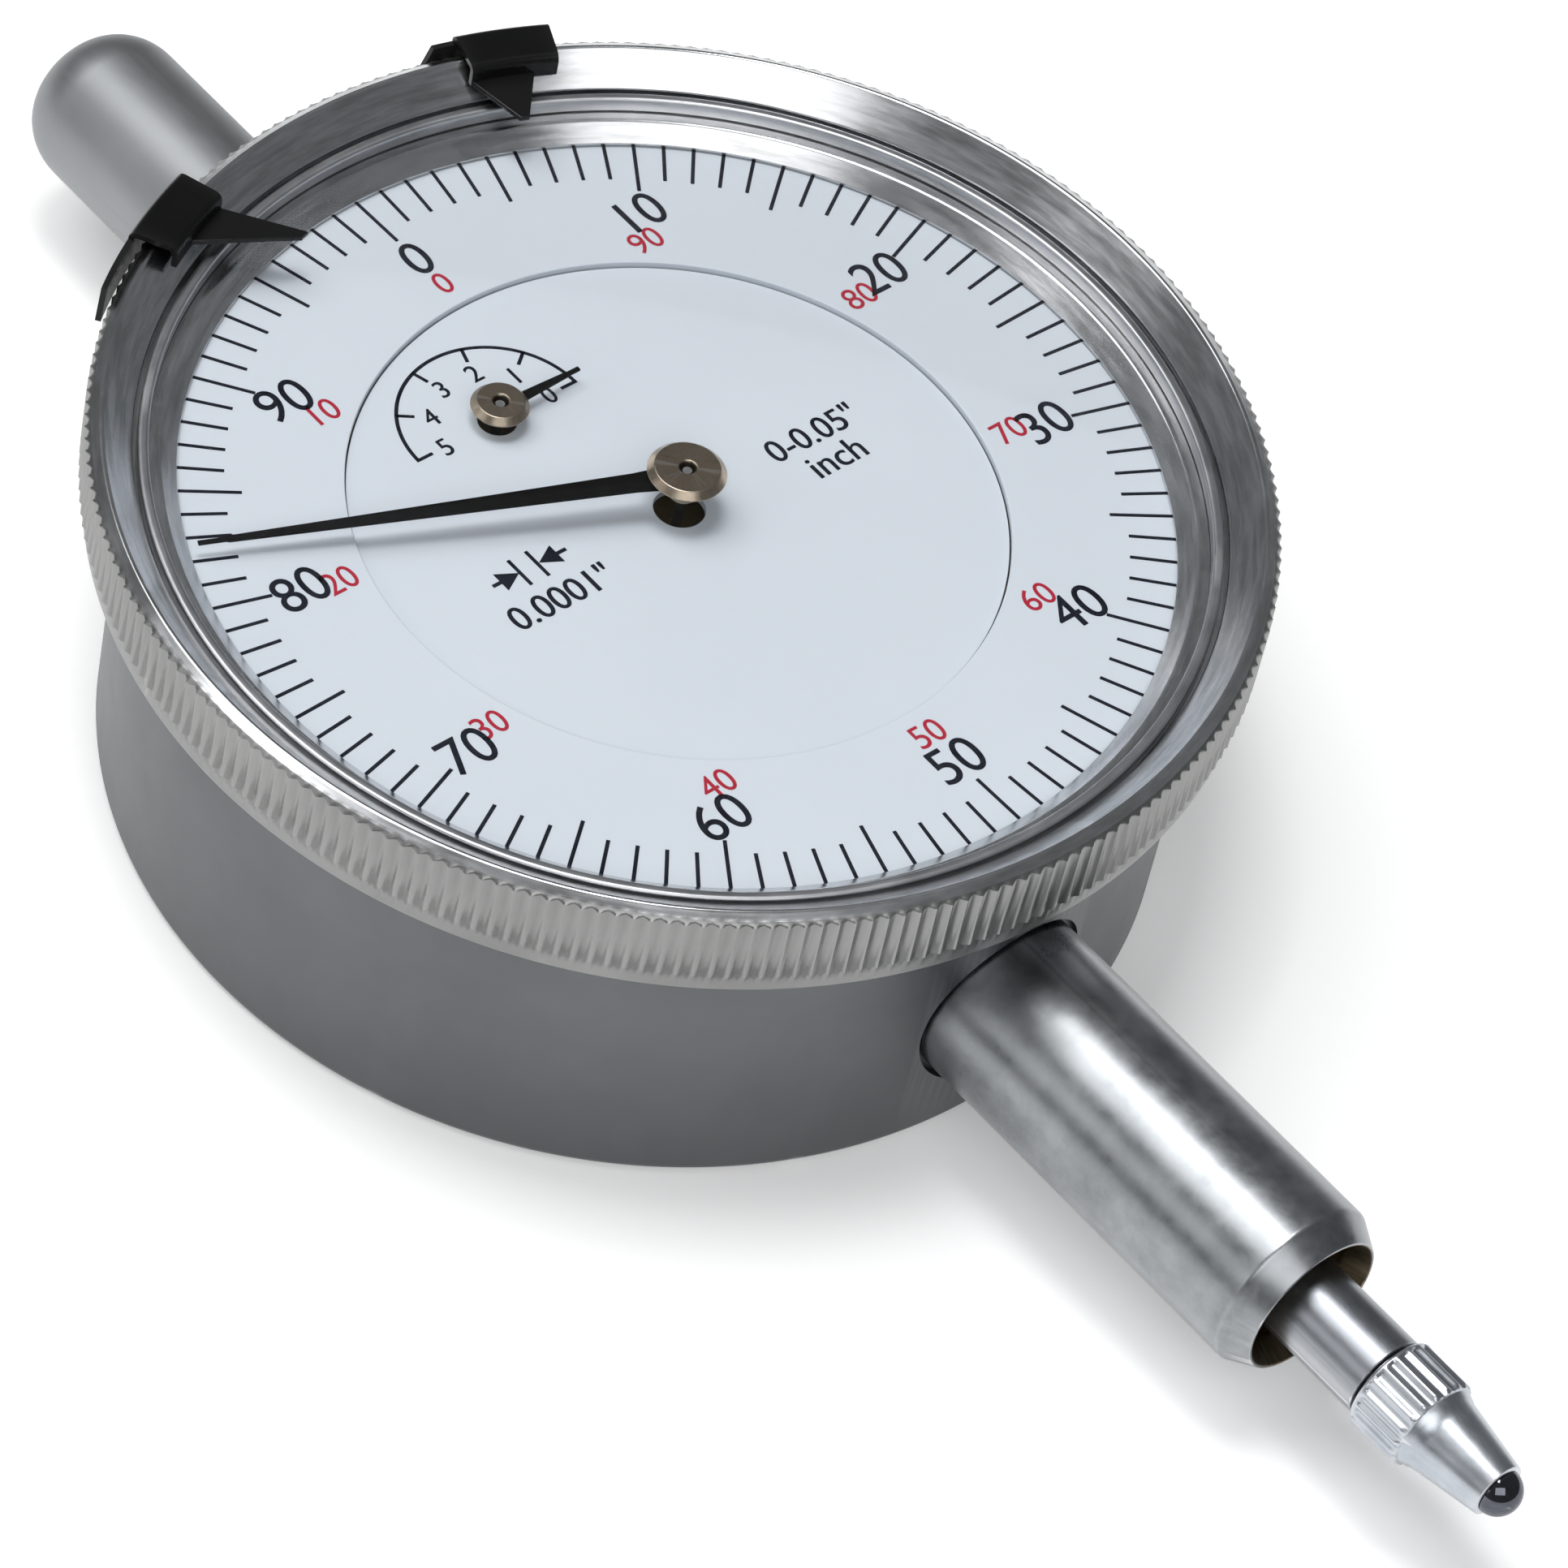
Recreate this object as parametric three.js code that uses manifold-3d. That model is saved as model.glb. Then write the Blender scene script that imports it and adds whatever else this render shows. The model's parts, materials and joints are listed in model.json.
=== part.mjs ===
// A dial indicator: a round case with a stem, a spindle whose rack drives a jewelled gear train,
// two hands, and a rotating bezel that carries the outer dial, the crystal and two tolerance clips.
// Millimetres. +Z points out of the dial, +Y towards the dust cap, and the origin is on the flat back
// under the centre of the dial. Heights named "...Height" are measured from the back.
import * as THREE from "three";
import { mergeVertices } from "three/addons/utils/BufferGeometryUtils.js";
import Module from "manifold-3d";

const wasm = await Module();
wasm.setup();

// Clearances
const fitGap = 0.3; // between pieces that seat in or on one another
const closeGap = 0.1; // between flat shoulders that close on one another
const runGap = 0.25; // around a piece that slides or turns in a bore

// Case and back cover
const caseRadius = 27.1;
const caseWall = 2.5;
const caseEdgeRound = 0.6;
const spindleHeight = 7.7;
const dialHeight = 18.4;
const coverThickness = 1.3;
const coverLip = 1.9; // wall left outside the back cover
const coverSeatDepth = 3.1; // width of the ledge that the cover's screws go into
const coverSeatThickness = 2.0;
const spotFaceDepth = 0.8; // depth of the flats that the stem and the dust cap seat on

// Bezel, outer dial and crystal; the "Rise" values are heights over the outer dial's face
const shoulderRise = -2.2; // the case's shoulder under the bezel
const neckStep = 1.2; // how far the case's neck is set in from its side
const neckTopRise = -1.05;
const bezelOverhang = 2.3;
const bezelBottomRise = -1.9;
const knurlBottomRise = -0.8;
const knurlTopRise = 2.9;
const bezelSkirtInset = 0.25; // the smooth band under the knurl is this much smaller in radius
const rimRise = 3.4;
const rimInset = 0.8;
const bevelWidth = 1.6;
const bevelDrop = 1.55;
const crystalSeatRise = 1.05;
const crystalSeatWidth = 1.4;
const innerConeWidth = 0.9;
const lipRise = 0.15;
const lipEdge = 0.1;
const crystalThickness = 0.6;
const crystalCrown = 1.85; // how far the crystal's middle stands above its edge
const crystalRingWidth = 0.55;
const crystalRingHeight = 0.75;
const outerDialThickness = 0.4;
const outerDialInnerRadius = 16.5;
const innerDialDrop = 0.3; // the inner dial lies this far below the outer one
const innerDialThickness = 0.4;
const retainerThickness = 0.25;
const retainerWidth = 1.3;
const retainerGroove = 0.3;
const springRingThickness = 0.26;
const springRingBite = 0.4; // how far the bezel's spring ring reaches into the neck and the bezel

// Stem, spindle and contact
const stemRadius = 4.7625;
const stemLength = 22.9;
const stemChamferLength = 1.5;
const stemChamferDepth = 0.81;
const stemShankRadius = 3.7;
const bushingWall = 0.6;
const bushingLength = 5.5;
const stemRecess = 2.2; // the lower bushing sits this far inside the stem's end
const stemMouthRadius = 3.8; // the bore opens out to this at the stem's end
const stemMouthLength = 1.4;
const spindleRadius = 2.25;
const spindleReach = 5.1; // bare spindle showing below the stem at rest
const spindleTail = 11.7; // spindle above the case's side, inside the dust cap
const contactCollarRadius = 2.55;
const contactCollarLength = 3.3;
const contactNeckRadius = 2.12;
const contactConeLength = 4.4;
const contactTipRadius = 1.55;
const contactStudRadius = 0.9;
const contactStudLength = 2.4;
const ballRadius = 1.25;
const ballStemRadius = 0.6;
const ballStemLength = 1.2;

// Dust cap
const capRadius = 4.33;
const capLength = 21.4;
const capWall = 0.9;
const capEndRound = 2.9;

// Gear train: modules are pitch diameter over tooth count
const rackPitch = 0.508;
const rackPinionTeeth = 12;
const rackGearTeeth = 96;
const rackGearModule = 0.15;
const secondPinionTeeth = 16;
const centrePinionTeeth = 10;
const secondGearTeeth = 40;
const takeUpGearTeeth = 60;
const counterGearTeeth = 100;
const addendumShare = 0.65; // of the module, outside the pitch circle
const toothDepthShare = 2.3; // of the module, from tip to root
const gearThickness = 0.4;
const layerPitch = 0.7; // from one layer of gears to the next
const arborRadius = 0.4;
const pivotRadius = 0.25;
const jewelRadius = 0.85;
const jewelHoleRadius = 0.33;
const jewelThickness = 0.6;
const secondArborAngle = -0.8662; // direction of the second arbor from the centre, radians
const takeUpArborAngle = -2.5; // direction of the take-up arbor from the centre, radians
const counterX = -3.95;
const counterY = 9.4;
const handModule = (2 * Math.hypot(counterX, counterY)) / (centrePinionTeeth + counterGearTeeth);

// Movement plates and what they carry
const plateGap = 0.35; // from the spindle to the lower plate, and from plate to gear
const lowerPlateThickness = 0.8;
const upperPlateThickness = 1.2;
const lowerPlateMargin = 4.1; // from the lower plate's edge to the case's inner wall
const ledgeWidth = 3.6; // of the case's ledge under the upper plate
const ledgeThickness = 1.5;
const upperPlateInset = 0.5; // from the upper plate's edge to the case's neck
const neckWall = 2.6;
const pillarRadius = 1.2;
const pillarPlaces = [
  [12, 1],
  [-14, -8],
  [8.5, 15.5],
];
const cockThickness = 1.0;
const cockLength = 4.5;
const cockReach = 6.4; // from the rack's side of the spindle to the cock's leg
const cockLegWidth = 1.4;
const guidePinRadius = 0.6;
const guidePinY = 8;
const guidePinLength = 6;
const guideBlockLength = 10;
const springPinY = -2;
const springPinLength = 5.4;
const springLength = 15;
const springCoilRadius = 1.1;
const springWire = 0.22;
const springTurns = 9;
const springPostRadius = 0.6;
const hairspringTurns = 3;
const hairspringPitch = 0.75;
const hairspringWidth = 0.12;

// Screws
const screwHeadRadius = 1.1;
const screwHeadHeight = 0.6;
const screwShankRadius = 0.5;
const screwSlotWidth = 0.35;
const screwSlotDepth = 0.3;
const coverScrewCount = 4;
const movementScrewAngles = [90, 210, 330];
const screwShankLength = 1.6;

// Hands; "Rise" values are heights over the outer dial's face
const handAzimuth = 294.4; // clockwise from +Y, degrees
const handLength = 24.4;
const handTipLength = 1.5; // the narrow last stretch
const handRootWidth = 1.4;
const handEndWidth = 0.36;
const handTipWidth = 0.24;
const handThickness = 0.16;
const handSlope = 0.045; // fall per millimetre from the hub to the tip
const handRise = 1.92;
const handRingRadius = 1.55;
const hubRadius = 2.0;
const hubRise = 2.2;
const hubThickness = 0.45;
const hubPostRadius = 0.75;
const hubPostLength = 1.4;
const hubBoreRadius = 0.42;
const hubChamfer = 0.35;
const counterHandAzimuth = 90;
const counterHandLength = 5.1;
const counterHandRise = 0.5;
const counterHubRadius = 1.5;
const counterHubRise = 0.72;
const counterHubThickness = 0.46;
const counterPostRadius = 0.55;
const dialCentreHoleRadius = 1.32;
const dialCounterHoleRadius = 1.0;
const dialFeet = [
  [9, -6],
  [-9, -6],
];
const dialFootRadius = 0.8;

// Tolerance clips: angles are clockwise from +Y, degrees
const clipSheet = 0.3;
const clipHalfAngle = 4.85;
const clipReach = 1.3; // how far the clip's lip stands in from the rim's edge
const clipSkirtDepth = 2.2;
const clipArmRise = 2.75;
const clipTipWidth = 0.8;
const leftClip = { centre: 336.2, skirtStart: 323, armFrom: -1.2, armTo: 4.85, tip: 343.9, tipRadius: 23.1 };
const rightClip = { centre: 20.8, skirtStart: 12.5, armFrom: -4.85, armTo: 2.4, tip: 19.9, tipRadius: 24.3 };

// Smoothness
const bigSegments = 40;
const midSegments = 24;
const smallSegments = 10;
const tinySegments = 8;

// Sizes that follow from the ones above
const caseInner = caseRadius - caseWall;
const neckRadius = caseRadius - neckStep;
const neckInner = neckRadius - neckWall;
const bezelBore = neckRadius + fitGap + closeGap;
const knurlRadius = caseRadius + bezelOverhang;
const rimRadius = knurlRadius - rimInset;
const ringSeatRadius = rimRadius - bevelWidth;
const ringSeatRise = rimRise - bevelDrop;
const windowRadius = ringSeatRadius - crystalSeatWidth - innerConeWidth;
const outerDialRadius = bezelBore - fitGap;
const crystalRadius = ringSeatRadius - runGap - crystalRingWidth - fitGap;
const crystalEdgeRise = crystalSeatRise + closeGap;
const coverRadius = caseRadius - coverLip - fitGap;
const coverScrewRadius = coverRadius - coverSeatDepth / 2 - fitGap;
const lowerPlateHeight = spindleHeight + spindleRadius + plateGap;
const lowerPlateTop = lowerPlateHeight + lowerPlateThickness;
const firstLayer = lowerPlateTop + plateGap;
const upperPlateHeight = firstLayer + 3 * layerPitch + gearThickness + plateGap + closeGap;
const upperPlateTop = upperPlateHeight + upperPlateThickness;
const upperPlateRadius = neckInner - upperPlateInset;
const ledgeTop = upperPlateHeight - fitGap;
const lowerPlateRadius = caseInner - lowerPlateMargin;
const seatY = caseRadius - spotFaceDepth;
const stemEndY = -(seatY + closeGap + stemLength);
const bushingBore = spindleRadius + runGap;
const bushingRadius = bushingBore + bushingWall;
const stemBore = bushingRadius + 0.2;
const spindleEndY = stemEndY - spindleReach;
const innerDialRadius = outerDialInnerRadius - fitGap;
const innerDialRise = -innerDialDrop;

// Arbor places
const rackPitchRadius = (rackPitch * rackPinionTeeth) / (2 * Math.PI);
const rackModule = rackPitch / Math.PI;
const rackTipX = 2.035 + (spindleRadius - 2.25);
const rackRootX = rackTipX - toothDepthShare * rackModule;
const centreDistance = (teeth) => (handModule * (centrePinionTeeth + teeth)) / 2;
const secondArbor = polar(centreDistance(secondGearTeeth), secondArborAngle);
const takeUpArbor = polar(centreDistance(takeUpGearTeeth), takeUpArborAngle);
const counterArbor = [counterX, counterY];
const rackArbor = placeRackArbor();
const centreArbor = [0, 0];

function polar(radius, angle) {
  return [radius * Math.cos(angle), radius * Math.sin(angle)];
}

// A point at a clock direction: degrees clockwise from +Y.
function clock(radius, degrees) {
  const angle = THREE.MathUtils.degToRad(90 - degrees);
  return [radius * Math.cos(angle), radius * Math.sin(angle)];
}

// The rack pinion stands beside the rack, and far enough from the second arbor to mesh with it.
function placeRackArbor() {
  const x = rackTipX - addendumShare * rackModule + rackPitchRadius;
  const distance = (rackGearModule * (rackGearTeeth + secondPinionTeeth)) / 2;
  const dx = x - secondArbor[0];
  return [x, secondArbor[1] - Math.sqrt(distance ** 2 - dx ** 2)];
}

// ---- Shape helpers ----

// Twice the signed area of a closed outline.
function signedArea(points) {
  return points.reduce((sum, [x, y], i) => {
    const [nextX, nextY] = points[(i + 1) % points.length];
    return sum + x * nextY - nextX * y;
  }, 0);
}

// A turned piece: the closed outline [radius, along], turned about +Y, or about +Z when upright.
function turned(outline, segments, upright = true) {
  const ordered = signedArea(outline) > 0 ? outline : [...outline].reverse();
  const points = ordered.map(([r, a]) => new THREE.Vector2(r, a));
  points.push(points[0].clone());
  const geometry = new THREE.LatheGeometry(points, segments);
  return upright ? geometry.rotateX(Math.PI / 2) : geometry;
}

// A flat piece: outline and holes in X and Y, from height low up to high.
function flat(outline, low, high, holes = []) {
  const shape = new THREE.Shape(outline.map(([x, y]) => new THREE.Vector2(x, y)));
  holes.forEach(([x, y, radius]) => shape.holes.push(circlePath(x, y, radius)));
  const options = { depth: high - low, bevelEnabled: false };
  return new THREE.ExtrudeGeometry(shape, options).translate(0, 0, low);
}

function circlePath(x, y, radius) {
  const points = circlePoints(radius, tinySegments, x, y);
  return new THREE.Path(points.map(([u, v]) => new THREE.Vector2(u, v)));
}

function circlePoints(radius, count, x = 0, y = 0) {
  return Array.from({ length: count }, (_, i) => {
    const angle = (2 * Math.PI * i) / count;
    return [x + radius * Math.cos(angle), y + radius * Math.sin(angle)];
  });
}

function rod(radius, low, high, segments = smallSegments, x = 0, y = 0) {
  return flat(circlePoints(radius, segments, x, y), low, high);
}

function ring(inner, outer, low, high, segments) {
  const outline = [
    [inner, low],
    [outer, low],
    [outer, high],
    [inner, high],
  ];
  return turned(outline, segments);
}

// Points of a quarter round between two directions, about a centre.
function arc(centre, radius, fromDegrees, toDegrees, steps) {
  return Array.from({ length: steps + 1 }, (_, i) => {
    const degrees = fromDegrees + ((toDegrees - fromDegrees) * i) / steps;
    const [x, y] = polar(radius, THREE.MathUtils.degToRad(degrees));
    return [centre[0] + x, centre[1] + y];
  });
}

// A band between two radii and two clock directions.
function sector(inner, outer, fromDegrees, toDegrees, low, high) {
  const steps = Math.max(2, Math.ceil((toDegrees - fromDegrees) / 3));
  const step = (toDegrees - fromDegrees) / steps;
  const side = (radius) =>
    Array.from({ length: steps + 1 }, (_, i) => clock(radius, fromDegrees + step * i));
  return flat([...side(outer), ...side(inner).reverse()], low, high);
}

function toSolid(geometry) {
  const plain = (geometry.index ? geometry.toNonIndexed() : geometry).clone();
  plain.deleteAttribute("normal");
  plain.deleteAttribute("uv");
  const merged = mergeVertices(plain, 1e-4);
  const vertProperties = merged.attributes.position.array;
  const triVerts = new Uint32Array(merged.index.array);
  return new wasm.Manifold(new wasm.Mesh({ numProp: 3, vertProperties, triVerts }));
}

function toGeometry(solid) {
  const mesh = solid.getMesh();
  const geometry = new THREE.BufferGeometry();
  geometry.setAttribute("position", new THREE.BufferAttribute(new Float32Array(mesh.vertProperties), 3));
  geometry.setIndex(new THREE.BufferAttribute(new Uint32Array(mesh.triVerts), 1));
  return geometry;
}

function joined(...geometries) {
  return toGeometry(geometries.map(toSolid).reduce((a, b) => a.add(b)));
}

function cut(geometry, ...tools) {
  return toGeometry(tools.map(toSolid).reduce((a, b) => a.subtract(b), toSolid(geometry)));
}

// A rod along Y at the spindle's height, between two Y values.
function rodAlongY(radius, fromY, toY, segments = midSegments) {
  const outline = [
    [0, fromY],
    [radius, fromY],
    [radius, toY],
    [0, toY],
  ];
  return turned(outline, segments, false).translate(0, 0, spindleHeight);
}

// ---- Gears ----

// Teeth with straight flanks: tips at whole steps from the phase, roots half-way between.
function toothOutline(teeth, tip, root, phase) {
  return Array.from({ length: 2 * teeth }, (_, i) => {
    return polar(i % 2 ? root : tip, phase + (Math.PI * i) / teeth);
  });
}

function gearSizes(teeth, module) {
  const tip = (module * teeth) / 2 + addendumShare * module;
  return { tip, root: tip - toothDepthShare * module };
}

// The phase that puts a gear in mesh with its mate: where one has a tooth, the other has a gap.
function meshPhase(mate, matePhase, mateTeeth, place, teeth) {
  const direction = Math.atan2(place[1] - mate[1], place[0] - mate[0]);
  const mateStep = (2 * Math.PI) / mateTeeth;
  const step = (2 * Math.PI) / teeth;
  return direction + Math.PI - step * (0.5 - (direction - matePhase) / mateStep);
}

function gearWheel(teeth, module, phase, place, low, spokes) {
  const { tip, root } = gearSizes(teeth, module);
  const windows = Array.from({ length: spokes }, (_, i) => {
    const [x, y] = polar(root * 0.58, phase + (2 * Math.PI * i) / spokes);
    return [x, y, root * 0.2];
  });
  const holes = [[0, 0, arborRadius + closeGap / 2], ...windows];
  const wheel = flat(toothOutline(teeth, tip, root, phase), low, low + gearThickness, holes);
  return wheel.translate(place[0], place[1], 0);
}

// An arbor with a thin pivot in a lower jewel, a shoulder under the upper plate and a thin top end.
// The seat is the height of the lower jewel's upper face.
function arbor(place, seat, top, pinion) {
  const outline = [
    [0, seat - jewelThickness],
    [pivotRadius, seat - jewelThickness],
    [pivotRadius, seat + closeGap],
    [arborRadius, seat + closeGap],
    [arborRadius, upperPlateHeight - closeGap],
    [pivotRadius, upperPlateHeight - closeGap],
    [pivotRadius, top],
    [0, top],
  ];
  const shaft = turned(outline, tinySegments);
  if (!pinion) return shaft.translate(place[0], place[1], 0);
  const { tip, root } = gearSizes(pinion.teeth, pinion.module);
  const outlineOfLeaves = toothOutline(pinion.teeth, tip, root, pinion.phase);
  const leaves = flat(outlineOfLeaves, pinion.low, pinion.high);
  return joined(shaft, leaves).translate(place[0], place[1], 0);
}

// ---- Materials ----

const finishes = {
  satinSteel: { color: 0x9a9da0, roughness: 0.42, metalness: 0.9 },
  brightSteel: { color: 0xc4c6c8, roughness: 0.2, metalness: 1 },
  blackSteel: { color: 0x141414, roughness: 0.45, metalness: 0.6 },
  bronze: { color: 0x9a7440, roughness: 0.35, metalness: 1 },
  brass: { color: 0xc9a54c, roughness: 0.3, metalness: 1 },
  nickel: { color: 0xa3968a, roughness: 0.28, metalness: 1 },
  ruby: { color: 0xa01030, roughness: 0.1, metalness: 0 },
  dialWhite: { color: 0xdfe6ee, roughness: 0.5, metalness: 0 },
  clear: { color: 0xffffff, roughness: 0.03, metalness: 0, transparent: true, opacity: 0.25 },
};

const indicator = new THREE.Group();

function addPiece(name, geometry, finish) {
  const mesh = new THREE.Mesh(geometry, new THREE.MeshStandardMaterial(finishes[finish]));
  mesh.name = name;
  indicator.add(mesh);
}

// ---- Case ----

function caseBody() {
  const shoulder = dialHeight + shoulderRise;
  const neckTop = dialHeight + neckTopRise;
  const grooveMiddle = dialHeight + (bezelBottomRise + knurlBottomRise) / 2 - closeGap;
  const groove = springRingThickness / 2 + closeGap;
  const seat = coverThickness + fitGap;
  const outline = [
    ...arc([caseRadius - caseEdgeRound, caseEdgeRound], caseEdgeRound, -90, 0, 2),
    [caseRadius, shoulder],
    [neckRadius, shoulder],
    [neckRadius, grooveMiddle - groove],
    [neckRadius - springRingBite - closeGap, grooveMiddle - groove],
    [neckRadius - springRingBite - closeGap, grooveMiddle + groove],
    [neckRadius, grooveMiddle + groove],
    [neckRadius, neckTop],
    [neckInner, neckTop],
    [neckInner, ledgeTop],
    [caseInner - ledgeWidth, ledgeTop],
    [caseInner - ledgeWidth, ledgeTop - ledgeThickness],
    [caseInner, ledgeTop - ledgeThickness],
    [caseInner, seat + coverSeatThickness],
    [caseInner - coverSeatDepth, seat + coverSeatThickness],
    [caseInner - coverSeatDepth, seat],
    [caseRadius - coverLip, seat],
    [caseRadius - coverLip, 0],
  ];
  const beyond = caseRadius + 1;
  const stemSide = rodAlongY(stemRadius + fitGap, -beyond, -seatY);
  const stemHole = rodAlongY(stemShankRadius + fitGap, -beyond, -caseInner + 1);
  const capSide = rodAlongY(capRadius + fitGap, seatY, beyond);
  const capHole = rodAlongY(bushingRadius + fitGap, caseInner - 1, beyond);
  const tapped = [...coverScrewPlaces(), ...movementScrewPlaces()];
  const screwHoles = tapped.map(([x, y, low, high]) => rod(screwShankRadius + closeGap, low, high, 8, x, y));
  return cut(turned(outline, bigSegments), stemSide, stemHole, capSide, capHole, ...screwHoles);
}

// Places of the back cover's screws, with the heights between which their holes run in the case.
function coverScrewPlaces() {
  return Array.from({ length: coverScrewCount }, (_, i) => {
    const [x, y] = clock(coverScrewRadius, 45 + (360 * i) / coverScrewCount);
    return [x, y, coverThickness, coverThickness + fitGap + coverSeatThickness + 1];
  });
}

function movementScrewPlaces() {
  const radius = (caseInner - ledgeWidth + upperPlateRadius) / 2;
  return movementScrewAngles.map((degrees) => {
    const [x, y] = clock(radius, degrees - 90);
    return [x, y, ledgeTop - ledgeThickness - 1, ledgeTop + 1];
  });
}

function backCover() {
  const plate = rod(coverRadius, 0, coverThickness, bigSegments);
  const places = coverScrewPlaces();
  const headHole = ([x, y]) => rod(screwHeadRadius + closeGap, -1, screwHeadHeight + closeGap, 12, x, y);
  const shankHole = ([x, y]) => rod(screwShankRadius + closeGap, -1, coverThickness + 1, 8, x, y);
  return cut(plate, ...places.map(headHole), ...places.map(shankHole));
}

// A slotted screw whose head's outer face is at height face; the shank points along +Z or -Z.
function screw(x, y, face, length, direction) {
  const inner = screwHeadHeight;
  const outline = [
    [0, 0],
    [screwHeadRadius, 0],
    [screwHeadRadius, inner],
    [screwShankRadius, inner],
    [screwShankRadius, inner + length],
    [0, inner + length],
  ];
  const slot = new THREE.BoxGeometry(3 * screwHeadRadius, screwSlotWidth, 2 * screwSlotDepth);
  const body = cut(turned(outline, tinySegments), slot);
  if (direction < 0) body.rotateX(Math.PI);
  return body.translate(x, y, face);
}

function addCase() {
  addPiece("case_body", caseBody(), "satinSteel");
  addPiece("back_cover", backCover(), "satinSteel");
  coverScrewPlaces().forEach(([x, y], i) => {
    addPiece(`back_cover_screw_${i + 1}`, screw(x, y, closeGap / 2, screwShankLength, 1), "brightSteel");
  });
}

// ---- Stem, bushings, spindle, contact and dust cap: all turned about the spindle's axis ----

function alongSpindle(outline, segments = midSegments) {
  return turned(outline, segments, false).translate(0, 0, spindleHeight);
}

function stem() {
  const shoulder = -(seatY + closeGap);
  return alongSpindle([
    [stemBore, stemEndY + stemMouthLength],
    [stemMouthRadius, stemEndY],
    [stemRadius - stemChamferDepth, stemEndY],
    [stemRadius, stemEndY + stemChamferLength],
    [stemRadius, shoulder],
    [stemShankRadius, shoulder],
    [stemShankRadius, -caseInner],
    [stemBore, -caseInner],
  ]);
}

function bushing(fromY, toY) {
  return alongSpindle([
    [bushingBore, fromY],
    [bushingRadius, fromY],
    [bushingRadius, toY],
    [bushingBore, toY],
  ]);
}

function spindle() {
  const tail = caseRadius + spindleTail;
  const bar = rodAlongY(spindleRadius, spindleEndY, tail);
  const studEnd = spindleEndY + contactStudLength;
  const studBore = rodAlongY(contactStudRadius + closeGap, spindleEndY - 1, studEnd, 16);
  const guideHole = sideHole(guidePinY, guidePinRadius);
  const springHole = sideHole(springPinY, guidePinRadius);
  return cut(bar, studBore, rackCutter(), guideHole, springHole);
}

// Takes the spindle's +X side down to the rack's tips, with a groove for each tooth gap.
function rackCutter() {
  const outside = spindleRadius + 1;
  const first = -7;
  const last = 5;
  const points = [
    [outside, rackArbor[1] + (first - 1) * rackPitch],
    [rackTipX, rackArbor[1] + (first - 1) * rackPitch],
  ];
  for (let k = first; k <= last; k++) {
    points.push([rackTipX, rackArbor[1] + (k - 0.5) * rackPitch]);
    points.push([rackRootX, rackArbor[1] + k * rackPitch]);
  }
  points.push([rackTipX, rackArbor[1] + (last + 0.5) * rackPitch]);
  points.push([rackTipX, rackArbor[1] + (last + 1) * rackPitch]);
  points.push([outside, rackArbor[1] + (last + 1) * rackPitch]);
  return flat(points, spindleHeight - outside, spindleHeight + outside);
}

// A cross hole from the spindle's -X side, for a pin pressed in.
function sideHole(y, radius) {
  const hole = rod(radius + closeGap, 0, spindleRadius + 1);
  return hole.rotateY(-Math.PI / 2).translate(0, y, spindleHeight);
}

function sidePin(y, radius, length) {
  return rod(radius, 0, length).rotateY(-Math.PI / 2).translate(-closeGap, y, spindleHeight);
}

function contactPoint() {
  const top = spindleEndY - closeGap;
  const collarEnd = top - contactCollarLength;
  const neck = collarEnd - 0.45;
  const tip = neck - contactConeLength + 0.45;
  const edge = 0.25;
  const body = alongSpindle([
    [0, top + contactStudLength - fitGap],
    [contactStudRadius, top + contactStudLength - fitGap],
    [contactStudRadius, top],
    [contactCollarRadius - edge, top],
    [contactCollarRadius, top - edge],
    [contactCollarRadius, collarEnd + edge],
    [contactCollarRadius - edge, collarEnd],
    [contactNeckRadius, neck],
    [contactTipRadius, tip],
    [0, tip],
  ]);
  return cut(body, rodAlongY(ballStemRadius + closeGap, tip - 1, tip + ballStemLength + closeGap, 12));
}

function contactBall() {
  const tip = spindleEndY - closeGap - contactCollarLength - contactConeLength;
  const flatY = tip - closeGap / 2;
  const rise = Math.asin(closeGap / ballRadius);
  const round = Array.from({ length: 7 }, (_, i) => {
    const angle = (rise + ((Math.PI / 2 - rise) * i) / 6) * -1;
    return [ballRadius * Math.cos(angle), flatY + closeGap + ballRadius * Math.sin(angle)];
  });
  round[6][0] = 0;
  const outline = [
    [0, tip + ballStemLength],
    [ballStemRadius, tip + ballStemLength],
    [ballStemRadius, flatY],
    ...round,
  ];
  return alongSpindle(outline, 20);
}

function dustCap() {
  const base = seatY + closeGap;
  const end = base + capLength;
  const bore = capRadius - capWall;
  const inside = end - capWall - 1;
  return alongSpindle([
    [bore, base],
    [capRadius, base],
    ...arc([capRadius - capEndRound, end - capEndRound - 0.4], capEndRound, 0, 78, 6),
    [0, end],
    [0, inside],
    [bore - 1, inside],
    [bore, inside - 1],
  ]);
}

function addSpindleLine() {
  addPiece("stem", stem(), "brightSteel");
  addPiece("lower_bushing", bushing(stemEndY + stemRecess, stemEndY + stemRecess + bushingLength), "bronze");
  addPiece("upper_bushing", bushing(caseInner - fitGap, caseInner + bushingLength), "bronze");
  addPiece("rack_spindle", spindle(), "brightSteel");
  addPiece("guide_pin", sidePin(guidePinY, guidePinRadius, guidePinLength), "brightSteel");
  addPiece("spring_pin", sidePin(springPinY, guidePinRadius, springPinLength), "brightSteel");
  addPiece("contact_point", contactPoint(), "brightSteel");
  addPiece("contact_ball", contactBall(), "brightSteel");
  addPiece("dust_cap", dustCap(), "satinSteel");
}

// ---- Movement ----

const rackPinion = { teeth: rackPinionTeeth, module: rackModule, phase: 0 };
const centrePinion = { teeth: centrePinionTeeth, module: handModule, phase: 0 };
const cockTop = spindleHeight - spindleRadius - plateGap - fitGap;
const jewelTop = upperPlateHeight + jewelThickness;

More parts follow.
